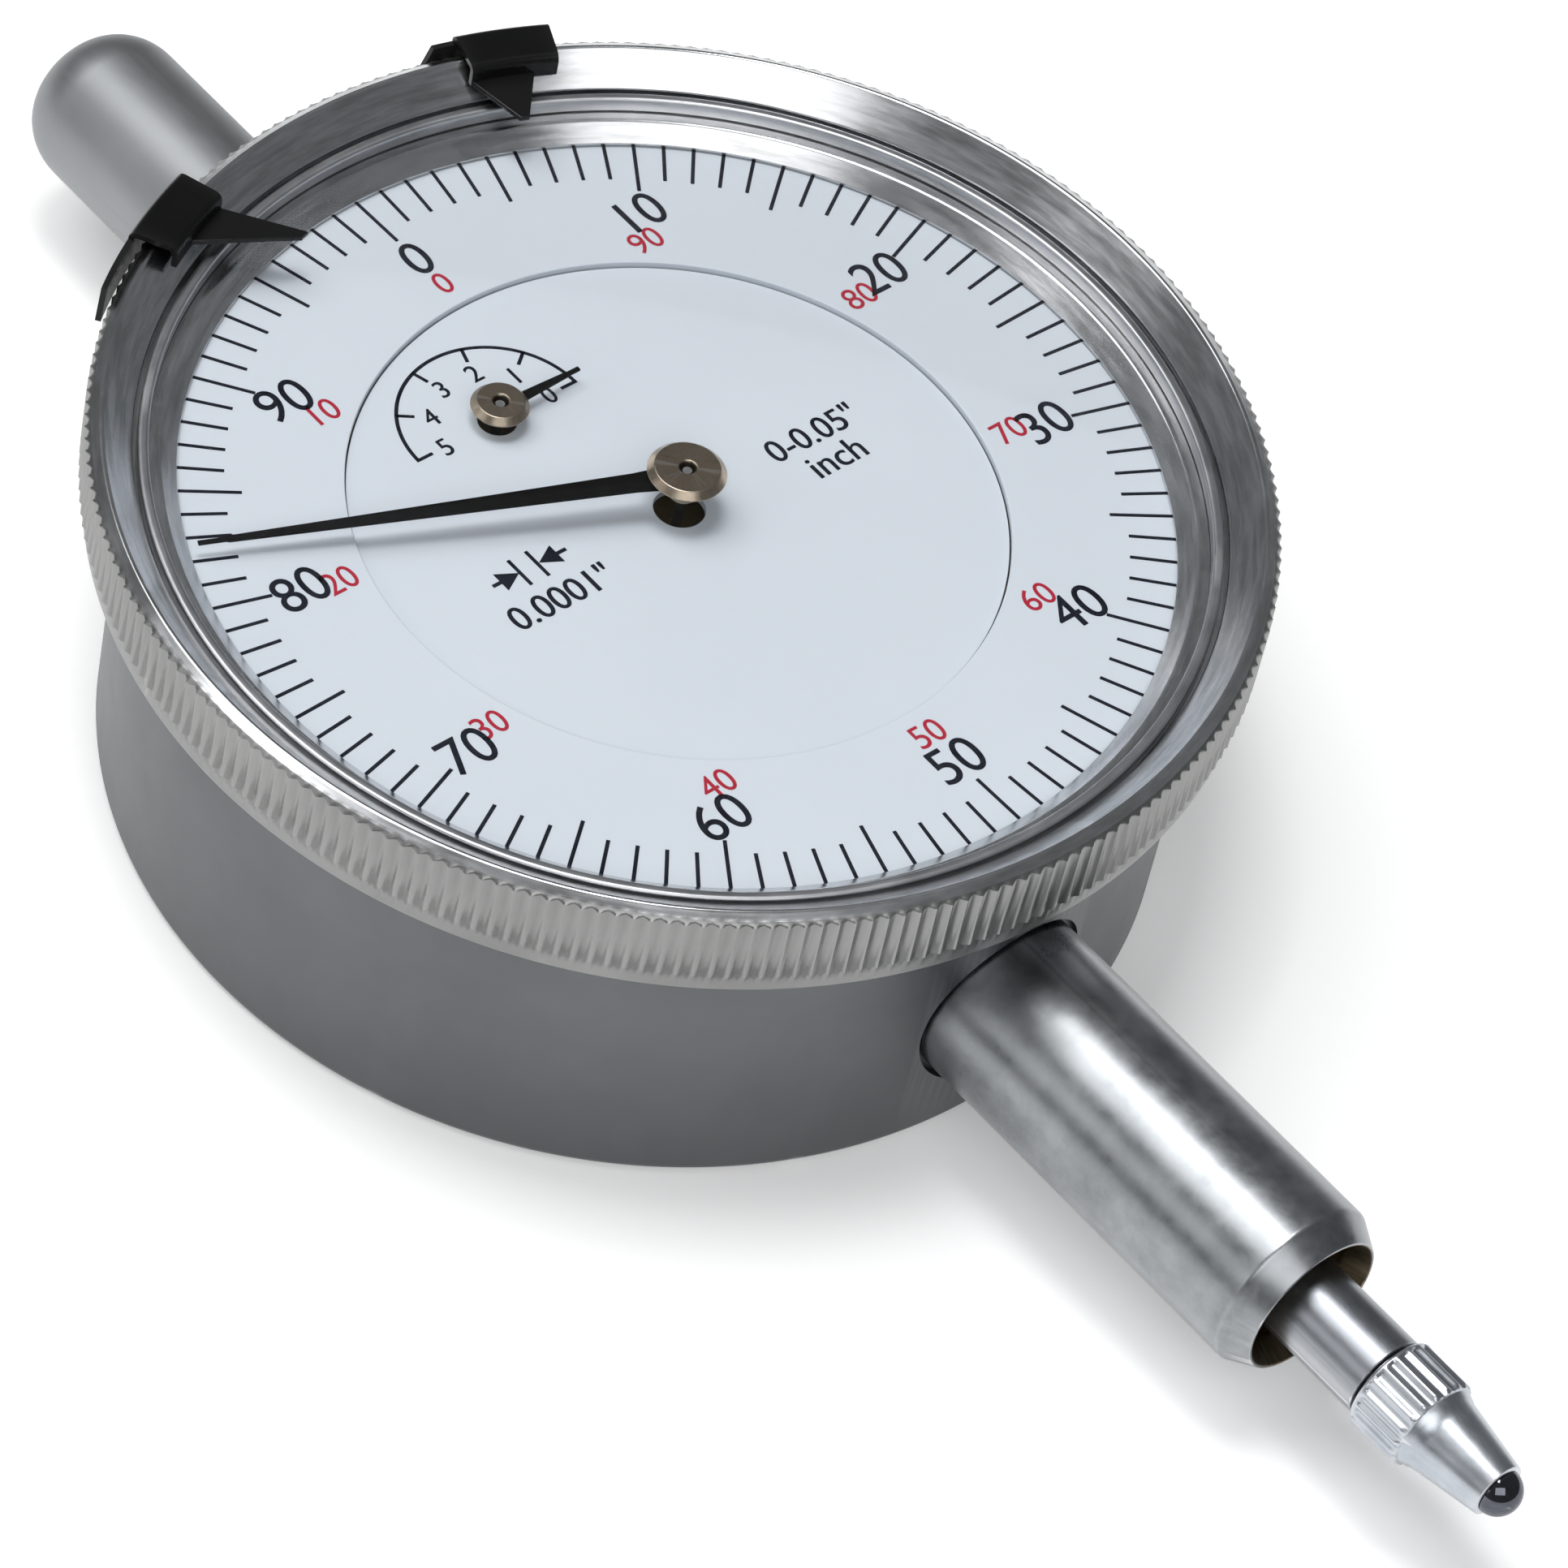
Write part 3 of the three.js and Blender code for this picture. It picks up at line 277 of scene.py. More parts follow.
# The stretch from low to high of a value, spread over newLow to newHigh.
def remap(tree, value, low, high, newLow=0.0, newHigh=1.0):
    inputs = {"Value": value, "From Min": low, "From Max": high, "To Min": newLow, "To Max": newHigh}
    return addNode(tree, "ShaderNodeMapRange", inputs).outputs[0]


def addBump(tree, shader, height, distance):
    bump = addNode(tree, "ShaderNodeBump", {"Height": height, "Distance": distance, "Strength": 1.0})
    tree.links.new(bump.outputs[0], shader.inputs["Normal"])


def newGroup(name, inputs, outputs):
    group = bpy.data.node_groups.new(name, "ShaderNodeTree")
    for key, kind, value in inputs:
        socket = group.interface.new_socket(name=key, in_out="INPUT", socket_type=kind)
        if value is not None:
            socket.default_value = value
    for key in outputs:
        group.interface.new_socket(name=key, in_out="OUTPUT", socket_type="NodeSocketFloat")
    return group, group.nodes.new("NodeGroupInput"), group.nodes.new("NodeGroupOutput")


turning = {"driftScale": 90.0, "streakRate": 0.22,
           "streakSlope": 0.55}  # rate: a share of the lines per metre


# Turning marks round the Z axis. Line is noise read at (r, z), where r is the distance from the axis and
# wanders a little. Streak is noise read at (n cos a, n sin a, (r + slope z) rate), for n streaks round.
def makeTurnedLines():
    group, start, end = newGroup("turnedLines", [
        ("Vector", "NodeSocketVector", None),
        ("Lines per metre", "NodeSocketFloat", 6000.0),
        ("Wander", "NodeSocketFloat", 0.00003),
        ("Streaks round", "NodeSocketFloat", 12.0),
    ], ["Line", "Streak"])
    vector, perMetre = start.outputs["Vector"], start.outputs["Lines per metre"]
    apart = addNode(group, "ShaderNodeSeparateXYZ", {0: vector})
    flat = addNode(group, "ShaderNodeCombineXYZ", {"X": apart.outputs["X"], "Y": apart.outputs["Y"]})
    radius = addNode(group, "ShaderNodeVectorMath", {0: flat.outputs[0]}, operation="LENGTH")
    drift = noise(group, vector, turning["driftScale"], 1.0)
    pushed = calculate(group, "MULTIPLY_ADD", drift, start.outputs["Wander"], radius.outputs["Value"])
    place = addNode(group, "ShaderNodeCombineXYZ", {"X": pushed, "Y": apart.outputs["Z"]})
    line = noise(group, place.outputs[0], perMetre, 2.0, 0.6)
    outward = addNode(group, "ShaderNodeVectorMath", {0: flat.outputs[0]}, operation="NORMALIZE")
    around = addNode(group, "ShaderNodeVectorMath", {
        0: outward.outputs[0], "Scale": start.outputs["Streaks round"],
    }, operation="SCALE")
    depth = calculate(group, "MULTIPLY_ADD", apart.outputs["Z"], turning["streakSlope"], pushed)
    rate = calculate(group, "MULTIPLY", perMetre, turning["streakRate"])
    lift = addNode(group, "ShaderNodeCombineXYZ", {"Z": calculate(group, "MULTIPLY", depth, rate)})
    spot = addNode(group, "ShaderNodeVectorMath", {0: around.outputs[0], 1: lift.outputs[0]}, operation="ADD")
    streak = noise(group, spot.outputs[0], 1.0, 3.0, 0.65)
    group.links.new(streak, end.inputs["Streak"])
    group.links.new(line, end.inputs["Line"])
    return group


# Cloudy variation, small specks where a noise is above 1 - share, and fine grain, for handling marks.
def makeHandling():
    group, start, end = newGroup("handling", [
        ("Vector", "NodeSocketVector", None),
        ("Cloud scale", "NodeSocketFloat", 90.0),
        ("Speck scale", "NodeSocketFloat", 1400.0),
        ("Speck share", "NodeSocketFloat", 0.3),
    ], ["Cloud", "Speck", "Grain"])
    vector, speckScale = start.outputs["Vector"], start.outputs["Speck scale"]
    edge = calculate(group, "SUBTRACT", 1.0, start.outputs["Speck share"])
    made = {
        "Cloud": noise(group, vector, start.outputs["Cloud scale"], 4.0, 0.6),
        "Speck": remap(group, noise(group, vector, speckScale, 3.0, 0.75), edge, 0.85),
        "Grain": noise(group, vector, speckScale, 1.0),
    }
    for key, value in made.items():
        group.links.new(value, end.inputs[key])
    return group


# Worn outer edges, and on the knurl's rib crests a painted highlight: how far the surface bends outwards, as
# a share of the reach.
def makeEdgeWear():
    group, start, end = newGroup("edgeWearAndSheen", [("Reach", "NodeSocketFloat", 0.06)], ["Edge"])
    flatSurface = 0.5  # the bend value of a flat surface
    bend = addNode(group, "ShaderNodeNewGeometry")
    top = calculate(group, "ADD", start.outputs["Reach"], flatSurface)
    group.links.new(remap(group, bend.outputs["Pointiness"], flatSurface, top), end.inputs["Edge"])
    return group


turnedLines = makeTurnedLines()
handling = makeHandling()
edgeWearAndSheen = makeEdgeWear()


def useGroup(tree, group, inputs=None):
    return addNode(tree, "ShaderNodeGroup", inputs, node_tree=group)


def mixColours(tree, factor, dark, light):
    ends = [(*value, 1) if isinstance(value, tuple) else value for value in (dark, light)]
    return addNode(tree, "ShaderNodeMix", {0: factor, 6: ends[0], 7: ends[1]}, data_type="RGBA").outputs[2]


def newMaterial(name, colour):
    made = bpy.data.materials.new(name)
    made.use_nodes = True
    made.diffuse_color = (*colour, 1)
    tree = made.node_tree
    return made, tree, tree.nodes["Principled BSDF"]


# Object coordinates, moved to the axis of a turned piece; along="spindle" turns Y upright.
def axisCoordinates(tree, along=None, centre=(0, 0, 0)):
    coordinates = addNode(tree, "ShaderNodeTexCoord")
    moved = addNode(tree, "ShaderNodeMapping", {"Vector": coordinates.outputs["Object"]})
    if along == "spindle":
        moved.inputs["Rotation"].default_value = (math.radians(90), 0, 0)
        moved.inputs["Location"].default_value = (0, spindleHeight * mm, 0)
    else:
        moved.inputs["Location"].default_value = tuple(-c * mm for c in centre)
    return moved.outputs[0]


spread = {"shade": (0.36, 0.64), "gloss": (0.6, 1.4), "paint": (0.3, 0.7),
          "smear": (0.4, 0.75)}  # of noise used


# A metal finish. Clouds and streaks move the colour from dark to light and the gloss from smooth to
# rough. Lines, grain and streaks, each times its depth, add up to the bump. Worn edges, and a painted
# highlight on the knurl's rib crests, lighten it.
def metalFinish(name, look):
    made, tree, shader = newMaterial(name, look["light"])
    vector = axisCoordinates(tree, look.get("along"), look.get("centre", (0, 0, 0)))
    marks = useGroup(tree, handling, {
        "Vector": vector, "Cloud scale": look["cloud"], "Speck scale": look["grain"],
        "Speck share": look["specks"],
    })
    lines = useGroup(tree, turnedLines, {
        "Vector": vector, "Lines per metre": look["lines"], "Wander": look["wander"],
        "Streaks round": look["streaks"],
    })
    cloud, streak = marks.outputs["Cloud"], lines.outputs["Streak"]
    blend = addNode(tree, "ShaderNodeMix", {"Factor": look["lineShare"], "A": cloud, "B": streak})
    shade = remap(tree, blend.outputs[0], *spread["shade"])
    colour = mixColours(tree, shade, look["dark"], look["light"])
    wornAndSheen = useGroup(tree, edgeWearAndSheen, {"Reach": look["wearAndSheenReach"]})
    colour = mixColours(tree, wornAndSheen.outputs["Edge"], colour, look["wornAndSheen"])
    colour = mixColours(tree, marks.outputs["Speck"], colour, look["speck"])
    tree.links.new(colour, shader.inputs["Base Color"])
    gloss = calculate(tree, "ADD", streak, cloud)
    roughness = remap(tree, gloss, *spread["gloss"], look["smooth"], look["rough"])
    tree.links.new(roughness, shader.inputs["Roughness"])
    height = calculate(tree, "MULTIPLY", lines.outputs["Line"], look["lineDepth"])
    height = calculate(tree, "MULTIPLY_ADD", marks.outputs["Grain"], look["grainDepth"], height)
    height = calculate(tree, "MULTIPLY_ADD", streak, look["streakDepth"], height)
    addBump(tree, shader, height, mm)
    shader.inputs["Metallic"].default_value = 1.0
    return made


plainMetal = {
    "cloud": 120.0, "grain": 6000.0, "specks": 0.26, "speck": (0.2, 0.2, 0.2), "lines": 9000.0,
    "wander": 0.00003,
    "streaks": 12.0, "lineShare": 0.5, "wearAndSheenReach": 0.12, "lineDepth": 0.001, "grainDepth": 0.0,
    "streakDepth": 0.0,
    "smooth": 0.18, "rough": 0.3, "dark": (0.42, 0.43, 0.44), "light": (0.6, 0.61, 0.62),
    "wornAndSheen": (0.75, 0.75, 0.76),
}
satin = plainMetal | {
    "cloud": 60.0, "grain": 9000.0, "lines": 3000.0, "lineShare": 0.12, "lineDepth": 0.0, "grainDepth": 0.002,
    "specks": 0.2, "smooth": 0.4, "rough": 0.5, "dark": (0.112, 0.116, 0.122), "light": (0.15, 0.154, 0.161),
    "wornAndSheen": (0.3, 0.3, 0.31), "speck": (0.08, 0.08, 0.08),
}
caseSatin = metalFinish("caseSatin", satin)
capSatin = metalFinish("capSatin", satin | {
    "along": "spindle", "dark": (0.29, 0.3, 0.31), "light": (0.36, 0.37, 0.38), "smooth": 0.44, "rough": 0.54,
})
bezelTurned = metalFinish("bezelTurned", plainMetal | {
    "cloud": 150.0, "grain": 4000.0, "streaks": 7.0, "lineShare": 0.85, "lineDepth": 0.0008,
    "streakDepth": 0.0009, "smooth": 0.16, "rough": 0.26, "dark": (0.47, 0.475, 0.48),
    "light": (0.7, 0.71, 0.73),
    "specks": 0.24, "wearAndSheenReach": 0.3,
})
# The lighter edge colour on the knurl's rib crests is partly wear and partly a painted highlight that stands
# for the light on the ribs.
knurlSatin = metalFinish("knurlSatin", plainMetal | {
    "cloud": 110.0, "lines": 4000.0, "lineShare": 0.2, "lineDepth": 0.0, "smooth": 0.3, "rough": 0.42,
    "dark": (0.235, 0.237, 0.232), "light": (0.3, 0.302, 0.296), "wornAndSheen": (0.5, 0.5, 0.49), "specks": 0.2,
    "wearAndSheenReach": 0.4,
})
beadSatin = metalFinish("beadSatin", plainMetal | {
    "lines": 5200.0, "smooth": 0.3, "rough": 0.4, "dark": (0.36, 0.37, 0.39), "light": (0.5, 0.51, 0.53),
})
stemGround = metalFinish("stemGround", plainMetal | {
    "along": "spindle", "cloud": 260.0, "grain": 3000.0, "streaks": 5.0, "lineShare": 0.25,
    "lineDepth": 0.0006, "streakDepth": 0.0006, "grainDepth": 0.0004, "smooth": 0.24, "rough": 0.38,
    "dark": (0.21, 0.222, 0.235), "light": (0.36, 0.375, 0.39), "specks": 0.17,
})
spindleGround = metalFinish("spindleGround", plainMetal | {
    "along": "spindle", "lines": 12000.0, "lineDepth": 0.0004, "smooth": 0.28, "rough": 0.4, "lineShare": 0.3,
    "dark": (0.24, 0.255, 0.28), "light": (0.33, 0.347, 0.375), "specks": 0.2,
})
contactSatin = metalFinish("contactSatin", plainMetal | {
    "along": "spindle", "cloud": 300.0, "lineDepth": 0.0004, "smooth": 0.27, "rough": 0.36,
    "lineShare": 0.3, "dark": (0.42, 0.45, 0.49), "light": (0.58, 0.61, 0.65), "wornAndSheen": (0.7, 0.72, 0.75),
    "specks": 0.2,
})
ballSteel = metalFinish("ballSteel", plainMetal | {
    "along": "spindle", "lineDepth": 0.0, "smooth": 0.04, "rough": 0.1, "dark": (0.07, 0.075, 0.09),
    "light": (0.13, 0.14, 0.16), "wornAndSheen": (0.2, 0.2, 0.22), "speck": (0.03, 0.03, 0.03), "specks": 0.15,
})
bushingBronze = metalFinish("bushingBronze", plainMetal | {
    "along": "spindle", "smooth": 0.2, "rough": 0.35, "dark": (0.24, 0.16, 0.07), "light": (0.4, 0.29, 0.14),
    "wornAndSheen": (0.5, 0.38, 0.2), "speck": (0.1, 0.07, 0.03),
})
# Near-black brown for the stem's bore and mouth: a bronze-brown tint darkened into painted shade inside the
# bore.
boreShadeBrown = metalFinish("boreShadeBrown", plainMetal | {
    "along": "spindle", "cloud": 500.0, "smooth": 0.35, "rough": 0.5, "dark": (0.035, 0.028, 0.02),
    "light": (0.13, 0.1, 0.06), "wornAndSheen": (0.3, 0.25, 0.17), "speck": (0.05, 0.04, 0.02),
})
hubLook = {
    "lines": 14000.0, "lineDepth": 0.0008, "smooth": 0.26, "rough": 0.36, "dark": (0.27, 0.222, 0.17),
    "light": (0.37, 0.31, 0.24), "wornAndSheen": (0.47, 0.41, 0.34), "speck": (0.14, 0.11, 0.09), "specks": 0.2,
}
hubNickel = metalFinish("hubNickel", plainMetal | hubLook)
counterHubNickel = metalFinish("counterHubNickel", plainMetal | hubLook | {"centre": (-3.95, 9.4, 0)})
plateBrass = metalFinish("plateBrass", plainMetal | {
    "smooth": 0.25, "rough": 0.4, "dark": (0.5, 0.38, 0.16), "light": (0.74, 0.6, 0.28),
    "wornAndSheen": (0.85, 0.72, 0.4),
})
movementSteel = metalFinish("movementSteel", plainMetal | {"cloud": 200.0})


# A painted or blackened surface: clouds move its colour and gloss, and specks and worn edges mark it.
def coatedFinish(name, look):
    made, tree, shader = newMaterial(name, look["light"])
    marks = useGroup(tree, handling, {
        "Vector": axisCoordinates(tree), "Cloud scale": look["cloud"], "Speck scale": look["grain"],
        "Speck share": look["specks"],
    })
    colour = mixColours(tree, marks.outputs["Cloud"], look["dark"], look["light"])
    colour = mixColours(tree, marks.outputs["Speck"], colour, look["speck"])
    if "wornAndSheen" in look:
        wornAndSheen = useGroup(tree, edgeWearAndSheen, {"Reach": look["wearAndSheenReach"]})
        colour = mixColours(tree, wornAndSheen.outputs["Edge"], colour, look["wornAndSheen"])
    tree.links.new(colour, shader.inputs["Base Color"])
    roughness = remap(tree, marks.outputs["Cloud"], *spread["paint"], look["smooth"], look["rough"])
    tree.links.new(roughness, shader.inputs["Roughness"])
    addBump(tree, shader, marks.outputs["Grain"], look["depth"] * mm)
    shader.inputs["Specular IOR Level"].default_value = look.get("specular", 0.5)
    shader.inputs["Coat Weight"].default_value = look.get("coat", 0.0)
    return made


dialPaint = coatedFinish("dialPaint", {
    "cloud": 70.0, "grain": 5000.0, "specks": 0.18, "dark": (0.6, 0.65, 0.71), "light": (0.64, 0.69, 0.75),
    "speck": (0.5, 0.54, 0.6), "smooth": 0.5, "rough": 0.6, "depth": 0.001, "specular": 0.3,
})
ink = {
    "cloud": 400.0, "grain": 9000.0, "specks": 0.2, "smooth": 0.6, "rough": 0.75, "depth": 0.0005,
    "specular": 0.15,
}
blackInk = coatedFinish("blackInk", ink | {
    "dark": (0.002, 0.003, 0.008), "light": (0.005, 0.007, 0.016), "speck": (0.02, 0.02, 0.04),
})
redInk = coatedFinish("redInk", ink | {
    "dark": (0.36, 0.012, 0.03), "light": (0.44, 0.02, 0.045), "speck": (0.5, 0.14, 0.17),
})
handBlack = coatedFinish("handBlack", {
    "cloud": 300.0, "grain": 5000.0, "specks": 0.22, "dark": (0.001, 0.001, 0.001),
    "light": (0.002, 0.002, 0.002),
    "speck": (0.01, 0.01, 0.01), "wornAndSheen": (0.01, 0.01, 0.01), "wearAndSheenReach": 0.4, "smooth": 0.5, "rough": 0.65,
    "depth": 0.001, "specular": 0.1,
})
clipBlack = coatedFinish("clipBlack", {
    "cloud": 250.0, "grain": 3500.0, "specks": 0.22, "dark": (0.002, 0.002, 0.002),
    "light": (0.005, 0.005, 0.005),
    "speck": (0.02, 0.02, 0.02), "wornAndSheen": (0.03, 0.03, 0.03), "wearAndSheenReach": 0.3, "smooth": 0.24, "rough": 0.34,
    "depth": 0.001, "specular": 0.22,
})
jewelRuby = coatedFinish("jewelRuby", {
    "cloud": 900.0, "grain": 9000.0, "specks": 0.2, "dark": (0.35, 0.01, 0.05), "light": (0.6, 0.03, 0.1),
    "speck": (0.7, 0.2, 0.25), "smooth": 0.05, "rough": 0.12, "depth": 0.0005, "coat": 0.6,
})


clearLook = {
    "smudge": 260.0, "gloss": 0.015, "smeared": 0.07, "faceOn": 0.006, "grazing": 0.09, "blend": 0.25,
    "ior": 1.49,
    "dark": (0.95, 0.97, 1.0), "light": (1.0, 1.0, 1.0),
}


# Clear dome: mostly see-through, more mirror-like towards grazing, with faint wiping marks in its gloss.
def clearFinish():
    look = clearLook
    made, tree, shader = newMaterial("crystalClear", (0.96, 0.98, 1.0))
    marks = useGroup(tree, handling, {"Vector": axisCoordinates(tree), "Cloud scale": look["smudge"]})
    roughness = remap(tree, marks.outputs["Cloud"], *spread["smear"], look["gloss"], look["smeared"])
    tree.links.new(roughness, shader.inputs["Roughness"])
    tint = mixColours(tree, marks.outputs["Cloud"], look["dark"], look["light"])
    tree.links.new(tint, shader.inputs["Base Color"])
    facing = addNode(tree, "ShaderNodeLayerWeight", {"Blend": look["blend"]})
    alpha = remap(tree, facing.outputs["Fresnel"], 0.0, 1.0, look["faceOn"], look["grazing"])
    tree.links.new(alpha, shader.inputs["Alpha"])
    shader.inputs["Transmission Weight"].default_value = 1.0
    shader.inputs["IOR"].default_value = look["ior"]
    return made


crystalClear = clearFinish()
print("materials made")


case = {
    "radius": 27.1, "edge": 0.6, "shoulder": 16.2, "neck": 25.9, "neckTop": 17.35, "neckInner": 23.3,
    "groove": (16.72, 17.18), "grooveDepth": 0.5, "ledge": 14.1, "ledgeRadius": 21.0, "ledgeDepth": 1.5,
    "wallInner": 24.6, "seatInner": 21.5, "seat": (3.6, 1.6), "coverRecess": 25.2, "spotFace": 26.3,
    "stemSpot": 5.06, "stemHole": 4.0, "capSpot": 4.63, "capHole": 3.4, "screwRadius": 23.05,
    "screwHead": 1.2,
    "screwHeadDepth": 0.7, "screwHole": 0.6, "coverRadius": 24.9, "coverThickness": 1.3, "screws": 4,
}
coverScrew = {
    "head": 1.1, "face": 0.05, "under": 0.65, "shank": 0.5, "end": 2.25, "slotHalf": 0.175, "slotFloor": 0.35,
    "firstTurn": 25, "nextTurn": 70,
}


# The drum turns one outline: the foot's quarter round, (R - e + e cos t, e + e sin t) for t from -90 to 0
# degrees, then the wall, the neck and its groove, and the ledges inside. Round bars cut its side openings.
def makeCase():
    s = case
    turn = np.linspace(-90, 0, 7) * np.pi / 180
    arc = np.stack([s["radius"] - s["edge"] + s["edge"] * np.cos(turn), s["edge"] + s["edge"] * np.sin(turn)],
                   -1)
    grooveLow, grooveHigh = s["groove"]
    seatHigh, seatLow = s["seat"]
    inner, ledgeLow = s["neck"] - s["grooveDepth"], s["ledge"] - s["ledgeDepth"]
    rest = [
        (s["radius"], s["shoulder"]), (s["neck"], s["shoulder"]), (s["neck"], grooveLow), (inner, grooveLow),
        (inner, grooveHigh), (s["neck"], grooveHigh), (s["neck"], s["neckTop"]),
        (s["neckInner"], s["neckTop"]),
        (s["neckInner"], s["ledge"]), (s["ledgeRadius"], s["ledge"]), (s["ledgeRadius"], ledgeLow),
        (s["wallInner"], ledgeLow), (s["wallInner"], seatHigh), (s["seatInner"], seatHigh),
        (s["seatInner"], seatLow), (s["coverRecess"], seatLow), (s["coverRecess"], 0),
    ]
    outline = np.vstack([arc, softened(arc[-1:].tolist() + rest, [0, 0.25] + [0] * 15 + [0.12])[1:]])
    beyond = s["radius"] + 1
    bars = [
        (s["stemSpot"], 96, -beyond, -s["spotFace"]), (s["stemHole"], 64, -beyond, -s["wallInner"] + 1),
        (s["capSpot"], 96, s["spotFace"], beyond), (s["capHole"], 64, s["wallInner"] - 1, beyond),
    ]
    drum = turnedMesh(outline, 288)
    cutters = [acrossCase(barMesh(circle(radius, steps), low, high)) for radius, steps, low, high in bars]
    placePiece("caseDrum", cutAway(drum, cutters), caseSatin, "case", ["case_body"], 32)


def screwPlaces():
    angle = np.radians(45 + 90 * np.arange(case["screws"]))
    return np.stack([case["screwRadius"] * np.sin(angle), case["screwRadius"] * np.cos(angle)], -1)


# A flat disc with its edge eased, a sunk round seat for each screw, and a slotted screw turned into each.
def makeBackCover():
    s = case
    disc = [(0, 0), (s["coverRadius"], 0), (s["coverRadius"], s["coverThickness"]), (0, s["coverThickness"])]
    plate = turnedMesh(softened(disc, [0, 0.15, 0.05, 0]), 288, False)
    cutters = [barMesh(circle(s["screwHead"], 48, x, y), -1, s["screwHeadDepth"]) for x, y in screwPlaces()]
    cutters += [barMesh(circle(s["screwHole"], 32, x, y), -1, 3) for x, y in screwPlaces()]
    placePiece("backPlate", cutAway(plate, cutters), caseSatin, "case", ["back_cover"], 30)
    k = coverScrew
    head = [
        (0, k["face"]), (k["head"], k["face"]), (k["head"], k["under"]), (k["shank"], k["under"]),
        (k["shank"], k["end"]), (0, k["end"]),
    ]
    beyond, half = k["head"] + 0.5, k["slotHalf"]
    for i, (x, y) in enumerate(screwPlaces()):
        screw = turnedMesh(softened(head, [0, 0.1, 0, 0, 0, 0]), 48, False)
        corners = [(-beyond, -half), (beyond, -half), (beyond, half), (-beyond, half)]
        slot = barMesh(corners, -0.5, k["slotFloor"])
        slot.transform(Matrix.Rotation(math.radians(k["firstTurn"] + k["nextTurn"] * i), 4, "Z"))
        piece = upright(cutAway(screw, [slot]), x, y)
        placePiece(f"coverScrew{i + 1}", piece, movementSteel, "case", [f"back_cover_screw_{i + 1}"],
                   30)


makeCase()
makeBackCover()
print("case made")


dustCap = {"radius": 4.33, "wall": 0.9, "endRound": 2.9, "endRise": 3.3, "segments": 128}


# A straight wall, then an end that is a quarter ellipse: (R - p + p cos t, end - q + q sin t).
def makeDustCap():
    s = dustCap
    base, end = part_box("dust_cap")[0].y / mm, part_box("dust_cap")[1].y / mm
    turn = np.linspace(0, 90, 17) * np.pi / 180
    dome = np.stack([
        s["radius"] - s["endRound"] + s["endRound"] * np.cos(turn),
        end - s["endRise"] + s["endRise"] * np.sin(turn),
    ], -1)
    bore = s["radius"] - s["wall"]
    outline = np.vstack([
        [(bore, base), (s["radius"] - 0.15, base), (s["radius"], base + 0.15), (s["radius"], base + 0.4)],
        dome, [(0, end), (0, end - 1.9), (bore - 1, end - 1.9), (bore, end - 2.9)],
    ])
    placePiece("dustCap", alongSpindle(outline, s["segments"]), capSatin, "case", ["dust_cap"])


stem = {
    "radius": 4.7625, "bore": 3.3, "mouth": 3.8, "mouthLength": 1.4, "chamferLength": 1.5,
    "chamferDepth": 0.81,
    "shank": 3.7, "shankEnd": -24.6, "shoulder": -26.4, "segments": 160,
}


# Turned: the bore widens in a straight cone to the mouth, then a narrow end ring, a straight chamfer and
# the plain stem with its shank. The bronze sleeve inside is a plain eased ring.
def makeStem():
    s = stem
    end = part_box("stem")[0].y / mm
    corners = [
        (s["bore"], end + s["mouthLength"]), (s["mouth"], end), (s["radius"] - s["chamferDepth"], end),
        (s["radius"], end + s["chamferLength"]),
        (s["radius"], s["shoulder"]), (s["shank"], s["shoulder"]), (s["shank"], s["shankEnd"]),
        (s["bore"], s["shankEnd"]),
    ]
    outline = softened(corners, [0.1, 0.04, 0.04, 0.12, 0.1, 0, 0, 0])
    piece = placePiece("stemTube", alongSpindle(outline, s["segments"]), stemGround, "case", ["stem"])
    centres = faceCentres(piece)
    # The bore and its mouth take the near-black brown, which is painted shade inside the bore.
    secondFinish(piece, boreShadeBrown, np.hypot(centres[:, 0], centres[:, 2] - spindleHeight) < s["mouth"] + 0.05)
    low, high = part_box("lower_bushing")[0].y / mm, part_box("lower_bushing")[1].y / mm
    sleeve = softened([(2.5, low), (3.1, low), (3.1, high), (2.5, high)], [0.12, 0.12, 0, 0])
    placePiece("bushingSleeve", alongSpindle(sleeve, 96), bushingBronze, "case", ["lower_bushing"])


spindle = {
    "radius": 2.25, "rackTip": 2.035, "toothDepth": 0.372, "rackPitch": 0.508, "rackMiddle": -11.93,
    "firstGap": -7,
    "lastGap": 5, "pins": (8, -2), "pinHole": 0.7, "segments": 96,
}


